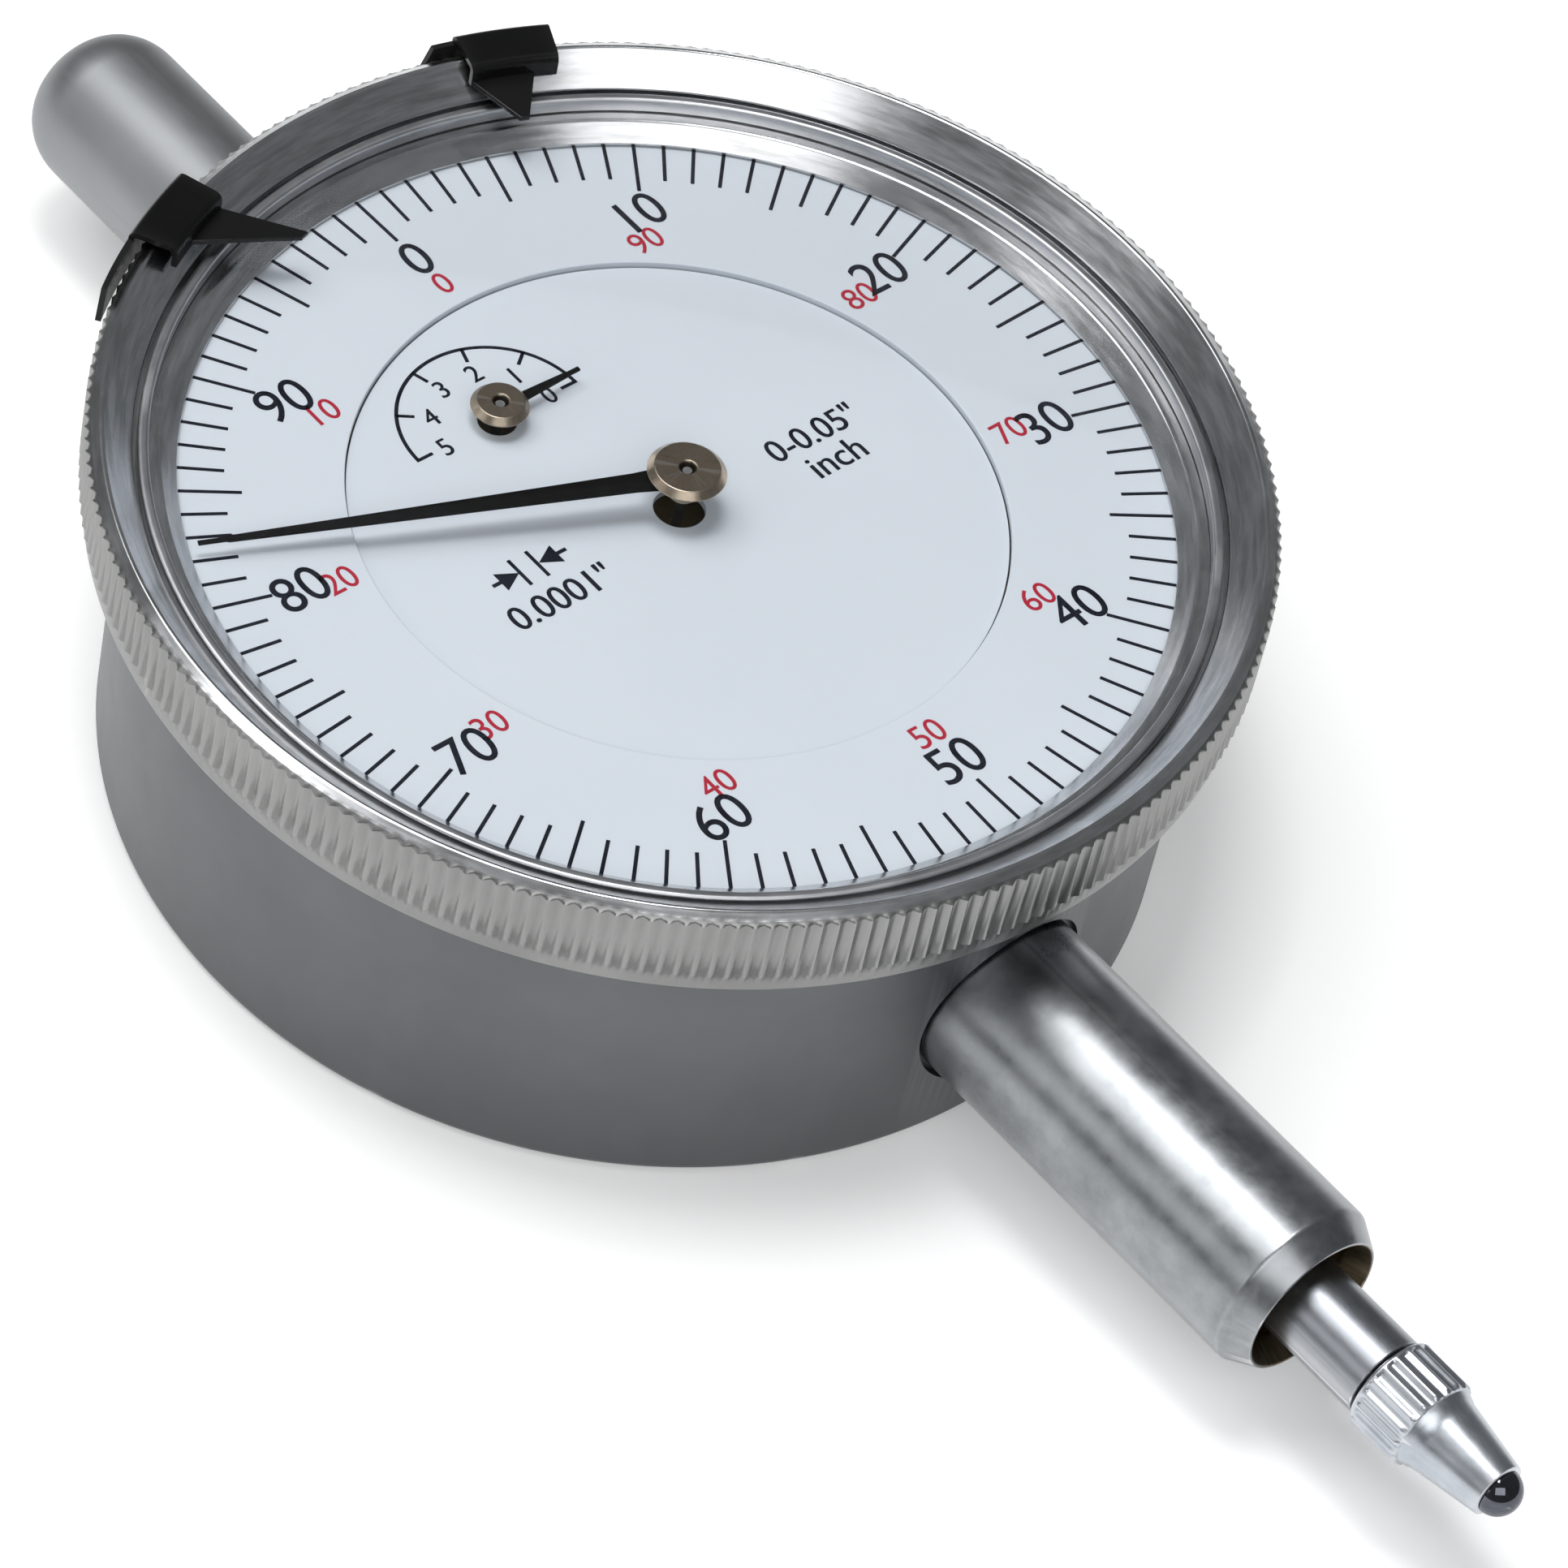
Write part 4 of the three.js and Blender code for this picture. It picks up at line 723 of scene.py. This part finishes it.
# A round rod with an eased end. A saw-edged prism, with a tooth for each pitch, cuts the rack in its side.
def makeSpindle():
    s = spindle
    low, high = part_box("rack_spindle")[0].y / mm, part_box("rack_spindle")[1].y / mm
    corners = [(0, low + 2.4), (1.0, low + 2.4), (1.0, low), (s["radius"], low), (s["radius"], high),
               (0, high)]
    bar = alongSpindle(softened(corners, [0, 0, 0, 0.08, 0.3, 0]), s["segments"], False)
    gap = np.arange(s["firstGap"], s["lastGap"] + 1)
    tips = np.stack([np.full(len(gap), s["rackTip"]), s["rackMiddle"] + (gap - 0.5) * s["rackPitch"]], -1)
    roots = np.stack([np.full(len(gap), s["rackTip"] - s["toothDepth"]),
                      s["rackMiddle"] + gap * s["rackPitch"]], -1)
    saw = np.stack([tips, roots], 1).reshape(-1, 2)
    first = s["rackMiddle"] + (s["firstGap"] - 1) * s["rackPitch"]
    last = s["rackMiddle"] + (s["lastGap"] + 1) * s["rackPitch"]
    edge = np.vstack([[(4, first), (s["rackTip"], first)], saw,
                      [(s["rackTip"], last - s["rackPitch"] / 2), (s["rackTip"], last), (4, last)]])
    cutters = [barMesh(edge, spindleHeight - 4, spindleHeight + 4)]
    for y in s["pins"]:
        hole = barMesh(circle(s["pinHole"], 24), 0, 4)
        hole.transform(Matrix.Translation((0, y, spindleHeight)) @ Matrix.Rotation(math.radians(-90), 4, "Y"))
        cutters.append(hole)
    placePiece("spindleRod", cutAway(bar, cutters), spindleGround, "spindle", ["rack_spindle"],
               30)


contact = {
    "collar": 2.55, "collarEdge": 0.25, "groove": 2.0, "neck": 2.12, "tip": 1.55, "stud": 0.9, "ribs": 20,
    "ribDepth": 0.17,
    "ribFrom": 0.35, "perRib": 12, "ball": 1.25,
}


# Between ribs the collar's radius dips by the rib depth times |cos(ribs a / 2)| to the power 1.6, faded
# in after the smooth ring at its top.
def contactRibs(r, h, a):
    s = contact
    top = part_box("contact_point")[1].y / mm - 2.1
    fade = np.clip((top - s["ribFrom"] - h) / 0.12, 0, 1) * (h > top - 3.75)
    dip = s["ribDepth"] * np.abs(np.cos(a * s["ribs"] / 2)) ** 1.6
    ribbed = s["collar"] - dip * fade
    return np.where((r > s["neck"] - 0.02) & (fade > 0), np.minimum(r, ribbed), r)


# Turned: a stud, a groove, the ribbed collar and a cone whose radius falls evenly from neck to tip. The
# ball is the arc (b cos t, centre + b sin t), with a shank in the point.
def makeContact():
    s = contact
    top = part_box("contact_point")[1].y / mm - 2.1
    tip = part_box("contact_point")[0].y / mm
    collarEnd = top - 3.3
    neck = collarEnd - 0.45
    ring = np.linspace(top - s["collarEdge"] - 0.1, collarEnd + s["collarEdge"], 22)
    cone = np.linspace(0, 1, 9)[1:]
    outline = np.vstack([
        [(0, top + 2.1), (s["stud"], top + 2.1), (s["stud"], top), (s["groove"], top),
         (s["groove"], top - 0.14),
         (s["collar"] - 0.16, top - 0.15), (s["collar"] - 0.05, top - 0.2),
         (s["collar"], top - s["collarEdge"] - 0.05)],
        np.stack([np.full(len(ring), s["collar"]), ring], -1),
        [(s["collar"] - 0.12, collarEnd + 0.06), (s["collar"] - s["collarEdge"], collarEnd),
         (s["neck"] + 0.08, neck + 0.1), (s["neck"], neck)],
        np.stack([s["neck"] + (s["tip"] - 0.06 - s["neck"]) * cone, neck + (tip - neck) * cone + 0.04 * cone],
                 -1),
        [(s["tip"] - 0.12, tip), (0.7, tip), (0.7, tip + 1.3), (0, tip + 1.3)],
    ])
    mesh = alongSpindle(outline, s["ribs"] * s["perRib"], True, contactRibs)
    placePiece("contactBody", mesh, contactSatin, "spindle", ["contact_point"])
    ballLow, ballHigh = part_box("contact_ball")[0].y / mm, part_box("contact_ball")[1].y / mm
    turn = np.radians(np.linspace(-4.6, -90, 22))
    arc = np.stack([s["ball"] * np.cos(turn), ballLow + s["ball"] + s["ball"] * np.sin(turn)], -1)
    arc[-1, 0] = 0
    shank = [(0, ballHigh), (0.6, ballHigh), (0.6, arc[0, 1])]
    placePiece("contactBall", alongSpindle(np.vstack([shank, arc]), 64, False), ballSteel, "spindle",
               ["contact_ball"])


makeDustCap()
makeStem()
makeSpindle()
makeContact()
print("stem, spindle, contact and cap made")


bezel = {
    "knurl": 29.4, "skirt": 29.15, "bottom": -1.9, "knurlBottom": -0.8, "knurlTop": 2.9, "rim": 28.6,
    "rimRise": 3.4,
    "ringSeat": 27.0, "seatRise": 1.85, "crystalSeat": 1.05, "coneTop": 25.6, "window": 24.7, "lip": 0.25,
    "bore": 26.3, "boreTop": 0.15, "ribs": 228, "perRib": 4, "ribDepth": 0.2, "satinFrom": 29.12,
    "shoulder": ((29.25, 2.995), (29.1, 3.09), (28.95, 3.18)),
    "grooves": ((0.3, -0.45, -0.8), (0.5, -1.22, -1.68)),  # depth, upper and lower side
}


# The knurled band's radius is the outline's or the ribs', whichever is less: the ribs dip by a
# triangle wave around the rim.
def bezelRibs(r, h, a):
    s = bezel
    wave = np.abs(((a * s["ribs"] / (2 * np.pi)) % 1) * 2 - 1)
    ribbed = s["knurl"] - s["ribDepth"] * wave
    band = (h > dialHeight + s["knurlBottom"] - 0.01) & (r > s["rim"] + 0.05)
    return np.where(band, np.minimum(r, ribbed), r)


# Turned: the skirt, the knurled band, a shoulder in small steps, the bevel down to the crystal's ring, the
# cone down to the window and, inside, the grooves for the rings that hold the dial and the case.
def makeBezel():
    s = bezel
    low, bore = s["knurlBottom"], s["bore"]
    corners = [
        (s["skirt"], s["bottom"], 0.15), (s["skirt"], low, 0), (s["knurl"], low + 0.12, 0),
        (s["knurl"], s["knurlTop"], 0), *[(r, h, 0) for r, h in s["shoulder"]],
        (s["rim"], s["rimRise"], 0.16),
        (s["ringSeat"], s["seatRise"], 0.08), (s["ringSeat"], s["crystalSeat"], 0),
        (s["coneTop"], s["crystalSeat"], 0.1), (s["window"], s["lip"], 0.05), (s["window"], s["boreTop"], 0),
        (bore, s["boreTop"], 0),
    ]
    for depth, upper, lower in s["grooves"]:
        corners += [(bore, upper, 0), (bore + depth, upper, 0), (bore + depth, lower, 0), (bore, lower, 0)]
    corners.append((bore, s["bottom"], 0))
    table = np.array(corners)
    outline = softened(table[:, :2], table[:, 2]) + [0, dialHeight]
    mesh = turnedMesh(outline, s["ribs"] * s["perRib"], True, bezelRibs)
    piece = placePiece("bezelRing", mesh, bezelTurned, "bezel", ["bezel"], 42)
    centres = faceCentres(piece)
    secondFinish(piece, knurlSatin, np.hypot(centres[:, 0], centres[:, 1]) > s["satinFrom"])


crystal = {"radius": 25.9, "edgeRise": 1.15, "thickness": 0.6, "crown": 1.85, "rings": 24, "segments": 192}


# Dome height falls with the square of the distance from the middle; the underside is the same, lower.
def makeCrystal():
    s = crystal
    share = np.linspace(0, 1, s["rings"])
    fall = s["crown"] * (1 - share**2) + dialHeight + s["edgeRise"]
    under = np.stack([s["radius"] * share, fall], -1)
    over = np.stack([s["radius"] * share, fall + s["thickness"]], -1)[::-1]
    over[0] += (-0.08, 0.02)
    outline = np.vstack([under, [(s["radius"], fall[-1] + s["thickness"] - 0.1)], over])
    mesh = turnedMesh(outline, s["segments"], False)
    placePiece("crystalDome", mesh, crystalClear, "bezel", ["crystal"])
    low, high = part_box("crystal_ring")
    outer, bottom, top = high.x / mm, low.z / mm, high.z / mm
    bead = [(outer - 0.55, bottom), (outer, bottom), (outer, top), (outer - 0.55, top)]
    placePiece("crystalBead", turnedMesh(softened(bead, [0, 0, 0.18, 0.18]), s["segments"]), beadSatin,
               "bezel",
               ["crystal_ring"])


makeBezel()
makeCrystal()
print("bezel and crystal made")


dial = {
    "outer": 26.0, "inner": 16.5, "thickness": 0.4, "drop": 0.3, "innerRadius": 16.42, "centreHole": 1.32,
    "counterHole": 1.0, "counter": (-3.95, 9.4), "turn": 1.64, "divisions": 100, "unitFrom": 22.37,
    "fiveFrom": 21.55,
    "tickTo": 25.6, "tickWidth": 0.2, "numberRadius": 20.1, "numberHeight": 2.25, "redRadius": 18.05,
    "redHeight": 1.43, "inkRise": 0.012, "stretch": 0.92, "bold": 0.005,
}


# Each dial is a thin rectangle turned about the axis; the inner one has two round holes and two feet.
def makeDials():
    s = dial
    top = dialHeight
    ring = [(s["inner"], top - s["thickness"]), (s["outer"], top - s["thickness"]), (s["outer"], top),
            (s["inner"], top)]
    placePiece("outerDialFace", turnedMesh(softened(ring, [0, 0, 0.03, 0.06]), 256), dialPaint, "bezel",
               ["outer_dial"])
    low = top - s["drop"] - s["thickness"]
    plate = [(0, low), (s["innerRadius"], low), (s["innerRadius"], top - s["drop"]), (0, top - s["drop"])]
    disc = turnedMesh(softened(plate, [0, 0, 0.05, 0]), 256, False)
    holes = [barMesh(circle(s["centreHole"], 64), low - 1, top + 1),
             barMesh(circle(s["counterHole"], 64, *s["counter"]), low - 1, top + 1)]
    feet = [turnedMesh([(0, 15.7), (0.8, 15.7), (0.8, low + 0.1), (0, low + 0.1)], 24,
                       False) for _ in range(2)]
    mesh = gathered([cutAway(disc, holes)] + [upright(f, x, -6) for f, x in zip(feet, (9, -9))])
    placePiece("innerDialFace", mesh, dialPaint, "case", ["inner_dial"], 30)


# A clock direction: degrees clockwise from the cap, as a unit vector.
def clock(degrees):
    angle = np.radians(90 - np.asarray(degrees, float))
    return np.stack([np.cos(angle), np.sin(angle)], -1)


# Thin bars that point to the centre: each from its inner radius to its outer one, with a width.
def tickMesh(directions, inner, outer, width, height, centre=(0, 0)):
    out = clock(directions)
    side = np.stack([-out[:, 1], out[:, 0]], -1) * width / 2
    inner, outer = np.broadcast_to(inner, len(out))[:, None], np.broadcast_to(outer, len(out))[:, None]
    corners = np.stack([out * inner - side, out * outer - side, out * outer + side, out * inner + side],
                       1) + centre
    low = np.concatenate([corners, np.full(corners.shape[:2] + (1,), height - 0.05)], -1)
    high = np.concatenate([corners, np.full(corners.shape[:2] + (1,), height)], -1)
    points = np.concatenate([low, high], 1).reshape(-1, 3)
    block = np.array([[0, 3, 2, 1], [4, 5, 6, 7], [0, 1, 5, 4], [1, 2, 6, 5], [2, 3, 7, 6], [3, 0, 4, 7]])
    faces = (block[None] + 8 * np.arange(len(out))[:, None, None]).reshape(-1, 4).tolist()
    return meshOf(points, faces)


def makeOuterPrint():
    s = dial
    count = np.arange(s["divisions"])
    directions = count * 360 / s["divisions"] - s["turn"]
    height = dialHeight + s["inkRise"]
    inner = np.where(count % 5 == 0, s["fiveFrom"], s["unitFrom"])
    black = [tickMesh(directions, inner, s["tickTo"], s["tickWidth"], height)]
    red = []
    for number in range(10):
        place = clock(number * 36 - s["turn"])
        mark = printedMark(str(number * 10), s["numberHeight"], s["stretch"], 0.04, s["bold"])
        black.append(upright(mark, *(place * s["numberRadius"]), height - 0.02))
        mark = printedMark(str((100 - number * 10) % 100), s["redHeight"], s["stretch"], 0.04, s["bold"])
        red.append(upright(mark, *(place * s["redRadius"]), height - 0.02))
    placePiece("outerDialBlackPrint", gathered(black), blackInk, "bezel", sharp=30)
    placePiece("outerDialRedPrint", gathered(red), redInk, "bezel", sharp=30)


innerPrint = {
    "arc": 5.1, "arcWidth": 0.2, "tickFrom": 4.1, "tickWidth": 0.19, "numbers": 3.3, "numberHeight": 1.12,
    "rangeText": "0-0.05\"", "rangeAt": (8.9, 0.36), "rangeHeight": 1.5, "unitText": "inch",
    "unitAt": (8.9, -1.6),
    "valueText": "0.0001\"", "valueAt": (-8.7, -1.35), "valueHeight": 1.55, "gapBars": (-9.4, -8.3),
    "barFoot": 0.0, "barTop": 1.87,
}


# The counter's scale is half of a flat ring: (r cos a, r sin a) for a from 0 to 180 degrees, with 0 at
# three o'clock and 5 at nine o'clock.
def makeInnerPrint():
    s = innerPrint
    height = dialHeight - dial["drop"] + dial["inkRise"]
    angle = np.radians(np.linspace(0, 180, 73))
    inside, low = s["arc"] - s["arcWidth"], height - 0.05
    band = np.array([(inside, height), (s["arc"], height), (s["arc"], low), (inside, low)])
    r, a = np.meshgrid(band[:, 0], angle, indexing="ij")
    points = np.stack([r * np.cos(a), r * np.sin(a), np.repeat(band[:, 1:], len(angle), 1)], -1)
    table = np.arange(points.size // 3).reshape(r.shape)
    ends = [table[:, 0].tolist(), table[::-1, -1].tolist()]
    arc = upright(meshOf(points, gridFaces(table, True, False) + ends), *dial["counter"])
    marks = [arc, tickMesh(90 - 36.0 * np.arange(6), s["tickFrom"], s["arc"], s["tickWidth"], height,
                           dial["counter"])]
    for number in range(6):
        angle = math.radians(36 * number)
        x = dial["counter"][0] + s["numbers"] * math.cos(angle)
        y = dial["counter"][1] + s["numbers"] * math.sin(angle)
        marks.append(upright(printedMark(str(number), s["numberHeight"], 0.9, 0.04), x, y, height - 0.02))
    for word, size in (("range", "rangeHeight"), ("unit", "rangeHeight"), ("value", "valueHeight")):
        mark = printedMark(s[word + "Text"], s[size], 0.95, 0.04)
        marks.append(upright(mark, *s[word + "At"], height - 0.02))
    for x in s["gapBars"]:
        bar = [(x - 0.1, s["barFoot"]), (x + 0.1, s["barFoot"]), (x + 0.1, s["barTop"]),
               (x - 0.1, s["barTop"])]
        marks.append(barMesh(bar, height - 0.05, height))
    for tail, point in ((-11.1, -9.45), (-6.5, -8.2)):
        back = point + (1.15 if tail > point else -1.15)
        marks.append(barMesh([(point, 0.93), (back, 1.55), (back, 0.31)], height - 0.05, height))
        marks.append(barMesh([(tail, 0.82), (back, 0.82), (back, 1.04), (tail, 1.04)], height - 0.05, height))
    placePiece("innerDialPrint", gathered(marks), blackInk, "case", sharp=30)


makeDials()
makeOuterPrint()
makeInnerPrint()
print("dials made")


mainHand = {
    "azimuth": 294.4, "length": 24.4, "tipLength": 1.5, "root": 1.4, "end": 0.36, "tip": 0.24, "ring": 1.55,
    "rise": 1.92, "slope": 0.045, "thickness": 0.16, "hole": 0.85,
}
counterHand = {
    "azimuth": 90, "length": 5.1, "tipLength": 0.8, "root": 0.6, "end": 0.3, "tip": 0.24, "ring": 1.0,
    "rise": 0.5, "slope": 0.0, "thickness": 0.16, "hole": 0.65,
}


# A ring at the hub, a taper that is widest at the root and a narrow tip, all as one flat plate.
def handPlate(s):
    join = math.sqrt(s["ring"] ** 2 - (s["root"] / 2) ** 2)
    start = math.degrees(math.asin(s["root"] / 2 / s["ring"]))
    turn = np.radians(np.linspace(start, 360 - start, 41))
    back = np.stack([s["ring"] * np.cos(turn), s["ring"] * np.sin(turn)], -1)
    shoulder = s["length"] - s["tipLength"]
    front = [
        (join + 1.2, -s["root"] * 0.42), (shoulder, -s["end"] / 2), (shoulder + 0.1, -s["tip"] / 2),
        (s["length"], -s["tip"] / 2), (s["length"], s["tip"] / 2), (shoulder + 0.1, s["tip"] / 2),
        (shoulder, s["end"] / 2), (join + 1.2, s["root"] * 0.42),
    ]
    return curveMesh([np.vstack([back, front]), circle(s["hole"], 32)], s["thickness"], 0.03)


def makeHand(name, s, body, node, centre):
    mesh = handPlate(s)
    tilt = Matrix.Rotation(math.atan(s["slope"]), 4, "Y")
    turn = Matrix.Rotation(math.radians(90 - s["azimuth"]), 4, "Z")
    height = dialHeight + s["rise"] + s["thickness"] / 2
    mesh.transform(Matrix.Translation((*centre, height)) @ turn @ tilt)
    placePiece(name, mesh, handBlack, body, [node], 30)


hubs = {
    "main": {"radius": 2.0, "bottom": 20.6, "top": 21.05, "chamfer": 0.35, "post": 0.75, "postEnd": 19.2,
             "bore": 0.42},
    "counter": {"radius": 1.5, "bottom": 19.12, "top": 19.58, "chamfer": 0.3, "post": 0.55, "postEnd": 18.22,
                "bore": 0.4},
}


# Turned: a post, a flat disc and a wide chamfer round the top.
def makeHub(name, s, body, node, centre, material):
    corners = [
        (s["bore"], s["postEnd"]), (s["post"], s["postEnd"]), (s["post"], s["bottom"]),
        (s["radius"] - 0.08, s["bottom"]),
        (s["radius"], s["bottom"] + 0.1), (s["radius"] - s["chamfer"], s["top"]),
        (s["bore"] + 0.06, s["top"]),
        (s["bore"], s["top"] - 0.06),
    ]
    mesh = turnedMesh(softened(corners, [0, 0, 0, 0.03, 0.04, 0.04, 0.03, 0.03]), 96)
    placePiece(name, upright(mesh, *centre), material, body, [node])


makeHand("mainHandBlade", mainHand, "centre_arbor", "main_hand", (0, 0))
makeHand("counterHandBlade", counterHand, "counter_arbor", "counter_hand", dial["counter"])
makeHub("mainHub", hubs["main"], "centre_arbor", "main_hand_hub", (0, 0), hubNickel)
makeHub("counterHub", hubs["counter"], "counter_arbor", "counter_hand_hub", dial["counter"], counterHubNickel)
print("hands made")


clipShape = {
    "sheet": 0.3, "half": 4.85, "lipRadius": 27.3, "outer": 29.95, "top": 22.4, "armLow": 21.15,
    "skirtLow": 20.2,
    "bend": 0.45, "tipWidth": 0.5, "skirtSlant": 1.2,
}
clips = {
    "Left": {"centre": 336.2, "skirtStart": 323, "armFrom": -1.2, "armTo": 4.85, "tip": 343.9,
             "tipRadius": 23.1,
             "body": "left_clip", "node": "tolerance_clip_left"},
    "Right": {"centre": 20.8, "skirtStart": 12.5, "armFrom": -4.85, "armTo": 2.4, "tip": 19.9,
              "tipRadius": 24.3,
              "body": "right_clip", "node": "tolerance_clip_right"},
}


# A strip of sheet swept about the dial's axis: its section (r, z) at clock directions from start to end,
# where each section point may start at its own direction.
def sweptSheet(section, starts, end, steps):
    share = np.linspace(0, 1, steps)[None]
    degrees = np.asarray(starts, float)[:, None] * (1 - share) + end * share
    angle = np.radians(90 - degrees)
    r, z = np.asarray(section, float).T
    points = np.stack([r[:, None] * np.cos(angle), r[:, None] * np.sin(angle),
                       np.repeat(z[:, None], steps, 1)], -1)
    table = np.arange(points.size // 3).reshape(len(r), steps)
    return meshOf(points, gridFaces(table, True, False) + [table[:, 0].tolist(), table[::-1, -1].tolist()])


# Bent section: up the skirt, over the rim and down the lip; the wall is one sheet thick.
def clipSection(s):
    out, top, low, bend, sheet = s["outer"], s["top"], s["skirtLow"], s["bend"], s["sheet"]
    turn = np.radians(np.linspace(0, 90, 7))
    over = np.stack([out - bend + bend * np.cos(turn), top - bend + bend * np.sin(turn)], -1)
    lip = np.stack([s["lipRadius"] + bend - bend * np.sin(turn), top - bend + bend * np.cos(turn)], -1)
    outside = np.vstack([[(out, low)], over, lip, [(s["lipRadius"], s["armLow"])]])
    tight = bend - sheet
    underLip = np.stack([s["lipRadius"] + bend - tight * np.sin(turn), top - bend + tight * np.cos(turn)],
                        -1)[::-1]
    underOver = np.stack([out - bend + tight * np.cos(turn), top - bend + tight * np.sin(turn)], -1)[::-1]
    inside = np.vstack([[(s["lipRadius"] + sheet, s["armLow"])], underLip, underOver, [(out - sheet, low)]])
    return outside, inside


# The bent cover, a side skirt with a slanted end, and a flat arm that narrows evenly to its tip.
def makeClip(name, clip):
    s = clipShape
    outside, inside = clipSection(s)
    start, end = clip["centre"] - s["half"], clip["centre"] + s["half"]
    cover = sweptSheet(np.vstack([outside, inside]), [start] * (len(outside) + len(inside)), end, 12)
    skirtTop = s["top"] - 0.55
    inner = s["outer"] - s["sheet"]
    skirt = [(s["outer"], s["skirtLow"]), (s["outer"], skirtTop), (inner, skirtTop), (inner, s["skirtLow"])]
    lowStart, highStart = clip["skirtStart"], clip["skirtStart"] + s["skirtSlant"]
    tail = sweptSheet(skirt, [lowStart, highStart, highStart, lowStart], start + 0.5, 10)
    halfTip = math.degrees(s["tipWidth"] / 2 / clip["tipRadius"])
    root = s["lipRadius"] + 0.1
    arm = np.array([
        clock(clip["centre"] + clip["armFrom"]) * root, clock(clip["tip"] - halfTip) * clip["tipRadius"],
        clock(clip["tip"] + halfTip) * clip["tipRadius"], clock(clip["centre"] + clip["armTo"]) * root,
    ])
    pointer = curveMesh([arm[::-1]], s["sheet"], 0.05)
    upright(pointer, 0, 0, s["armLow"] + s["sheet"] / 2)
    placePiece("toleranceClip" + name, gathered([cover, tail, pointer]), clipBlack, clip["body"],
               [clip["node"]],
               32)


for side, clip in clips.items():
    makeClip(side, clip)
print("clips made")


finishOf = {"bright_steel": movementSteel, "satin_steel": caseSatin, "brass": plateBrass, "ruby": jewelRuby,
            "bronze": bushingBronze, "nickel": hubNickel, "black_steel": clipBlack, "dial_white": dialPaint,
            "crystal_clear": crystalClear}
slotOf = {part["node"]: part["material_slot"] for part in frame["record"]["subparts"]}
for node, part in frame["nodes"].items():
    part.data.materials.clear()
    part.data.materials.append(finishOf[slotOf[node]])


studio = {
    "floorSize": 3.0, "floorDrop": -0.00005, "floorGlow": 0.24, "floorDark": (0.94, 0.94, 0.94),
    "floorLight": (0.96, 0.96, 0.96), "world": (0.15, 0.155, 0.16), "worldStrength": 1.0, "aimHeight": 0.015,
    "lights": {
        "key": {"at": (-0.03, 0.05, 0.62), "size": (0.17, 0.17), "power": 1.4},
        "above": {"at": (-0.15, 0.24, 0.56), "size": (0.42, 0.36), "power": 1.5},
        "front": {"at": (-0.3, -0.42, 0.54), "size": (0.55, 0.4), "power": 1.5},
        "left": {"at": (-0.6, 0.22, 0.3), "size": (0.5, 0.25), "power": 0.5},
    },
}


def makeFloor():
    made, tree, shader = newMaterial("paleFloor", (0.95, 0.95, 0.95))
    coordinates = addNode(tree, "ShaderNodeTexCoord")
    cloud = noise(tree, coordinates.outputs["Object"], 4.0, 2.0)
    colour = mixColours(tree, cloud, studio["floorDark"], studio["floorLight"])
    tree.links.new(colour, shader.inputs["Base Color"])
    shader.inputs["Roughness"].default_value = 0.9
    shader.inputs["Emission Color"].default_value = (1, 1, 1, 1)
    shader.inputs["Emission Strength"].default_value = studio["floorGlow"]
    half, low = studio["floorSize"] / 2, studio["floorDrop"]
    corners = [(-half, -half, low), (half, -half, low), (half, half, low), (-half, half, low)]
    mesh = bpy.data.meshes.new("floor")
    mesh.from_pydata(corners, [], [(0, 1, 2, 3)])
    mesh.materials.append(made)
    floor = bpy.data.objects.new("studioFloor", mesh)
    bpy.context.scene.collection.objects.link(floor)


def makeLights():
    world = bpy.data.worlds.new("studioWorld")
    bpy.context.scene.world = world
    world.use_nodes = True
    background = world.node_tree.nodes["Background"]
    background.inputs["Color"].default_value = (*studio["world"], 1)
    background.inputs["Strength"].default_value = studio["worldStrength"]
    for name, s in studio["lights"].items():
        lamp = bpy.data.lights.new(name, "AREA")
        lamp.shape = "RECTANGLE"
        lamp.size, lamp.size_y = s["size"]
        lamp.energy = s["power"]
        holder = bpy.data.objects.new(name + "Light", lamp)
        holder.location = s["at"]
        aim = Vector((0, 0, studio["aimHeight"])) - Vector(s["at"])
        holder.rotation_euler = aim.to_track_quat("-Z", "Y").to_euler()
        bpy.context.scene.collection.objects.link(holder)


view = {
    "at": (-0.1943, -0.1717, 0.2894), "right": (0.7518, -0.6418, 0.1511), "down": (-0.4136, -0.6376, -0.6499),
    "forward": (0.5135, 0.4261, -0.7448), "lens": 175.78, "sensor": 36.0,
}


def makeCamera():
    lens = bpy.data.cameras.new("studioCamera")
    lens.lens = view["lens"]
    lens.sensor_width = view["sensor"]
    lens.clip_start = 0.01
    camera = bpy.data.objects.new("studioCamera", lens)
    right, up, back = Vector(view["right"]), -Vector(view["down"]), -Vector(view["forward"])
    camera.matrix_world = Matrix.Translation(view["at"]) @ Matrix((right, up, back)).transposed().to_4x4()
    bpy.context.scene.collection.objects.link(camera)
    bpy.context.scene.camera = camera
    bpy.context.scene.view_settings.view_transform = "Standard"


makeFloor()
makeLights()
makeCamera()
print("studio made")
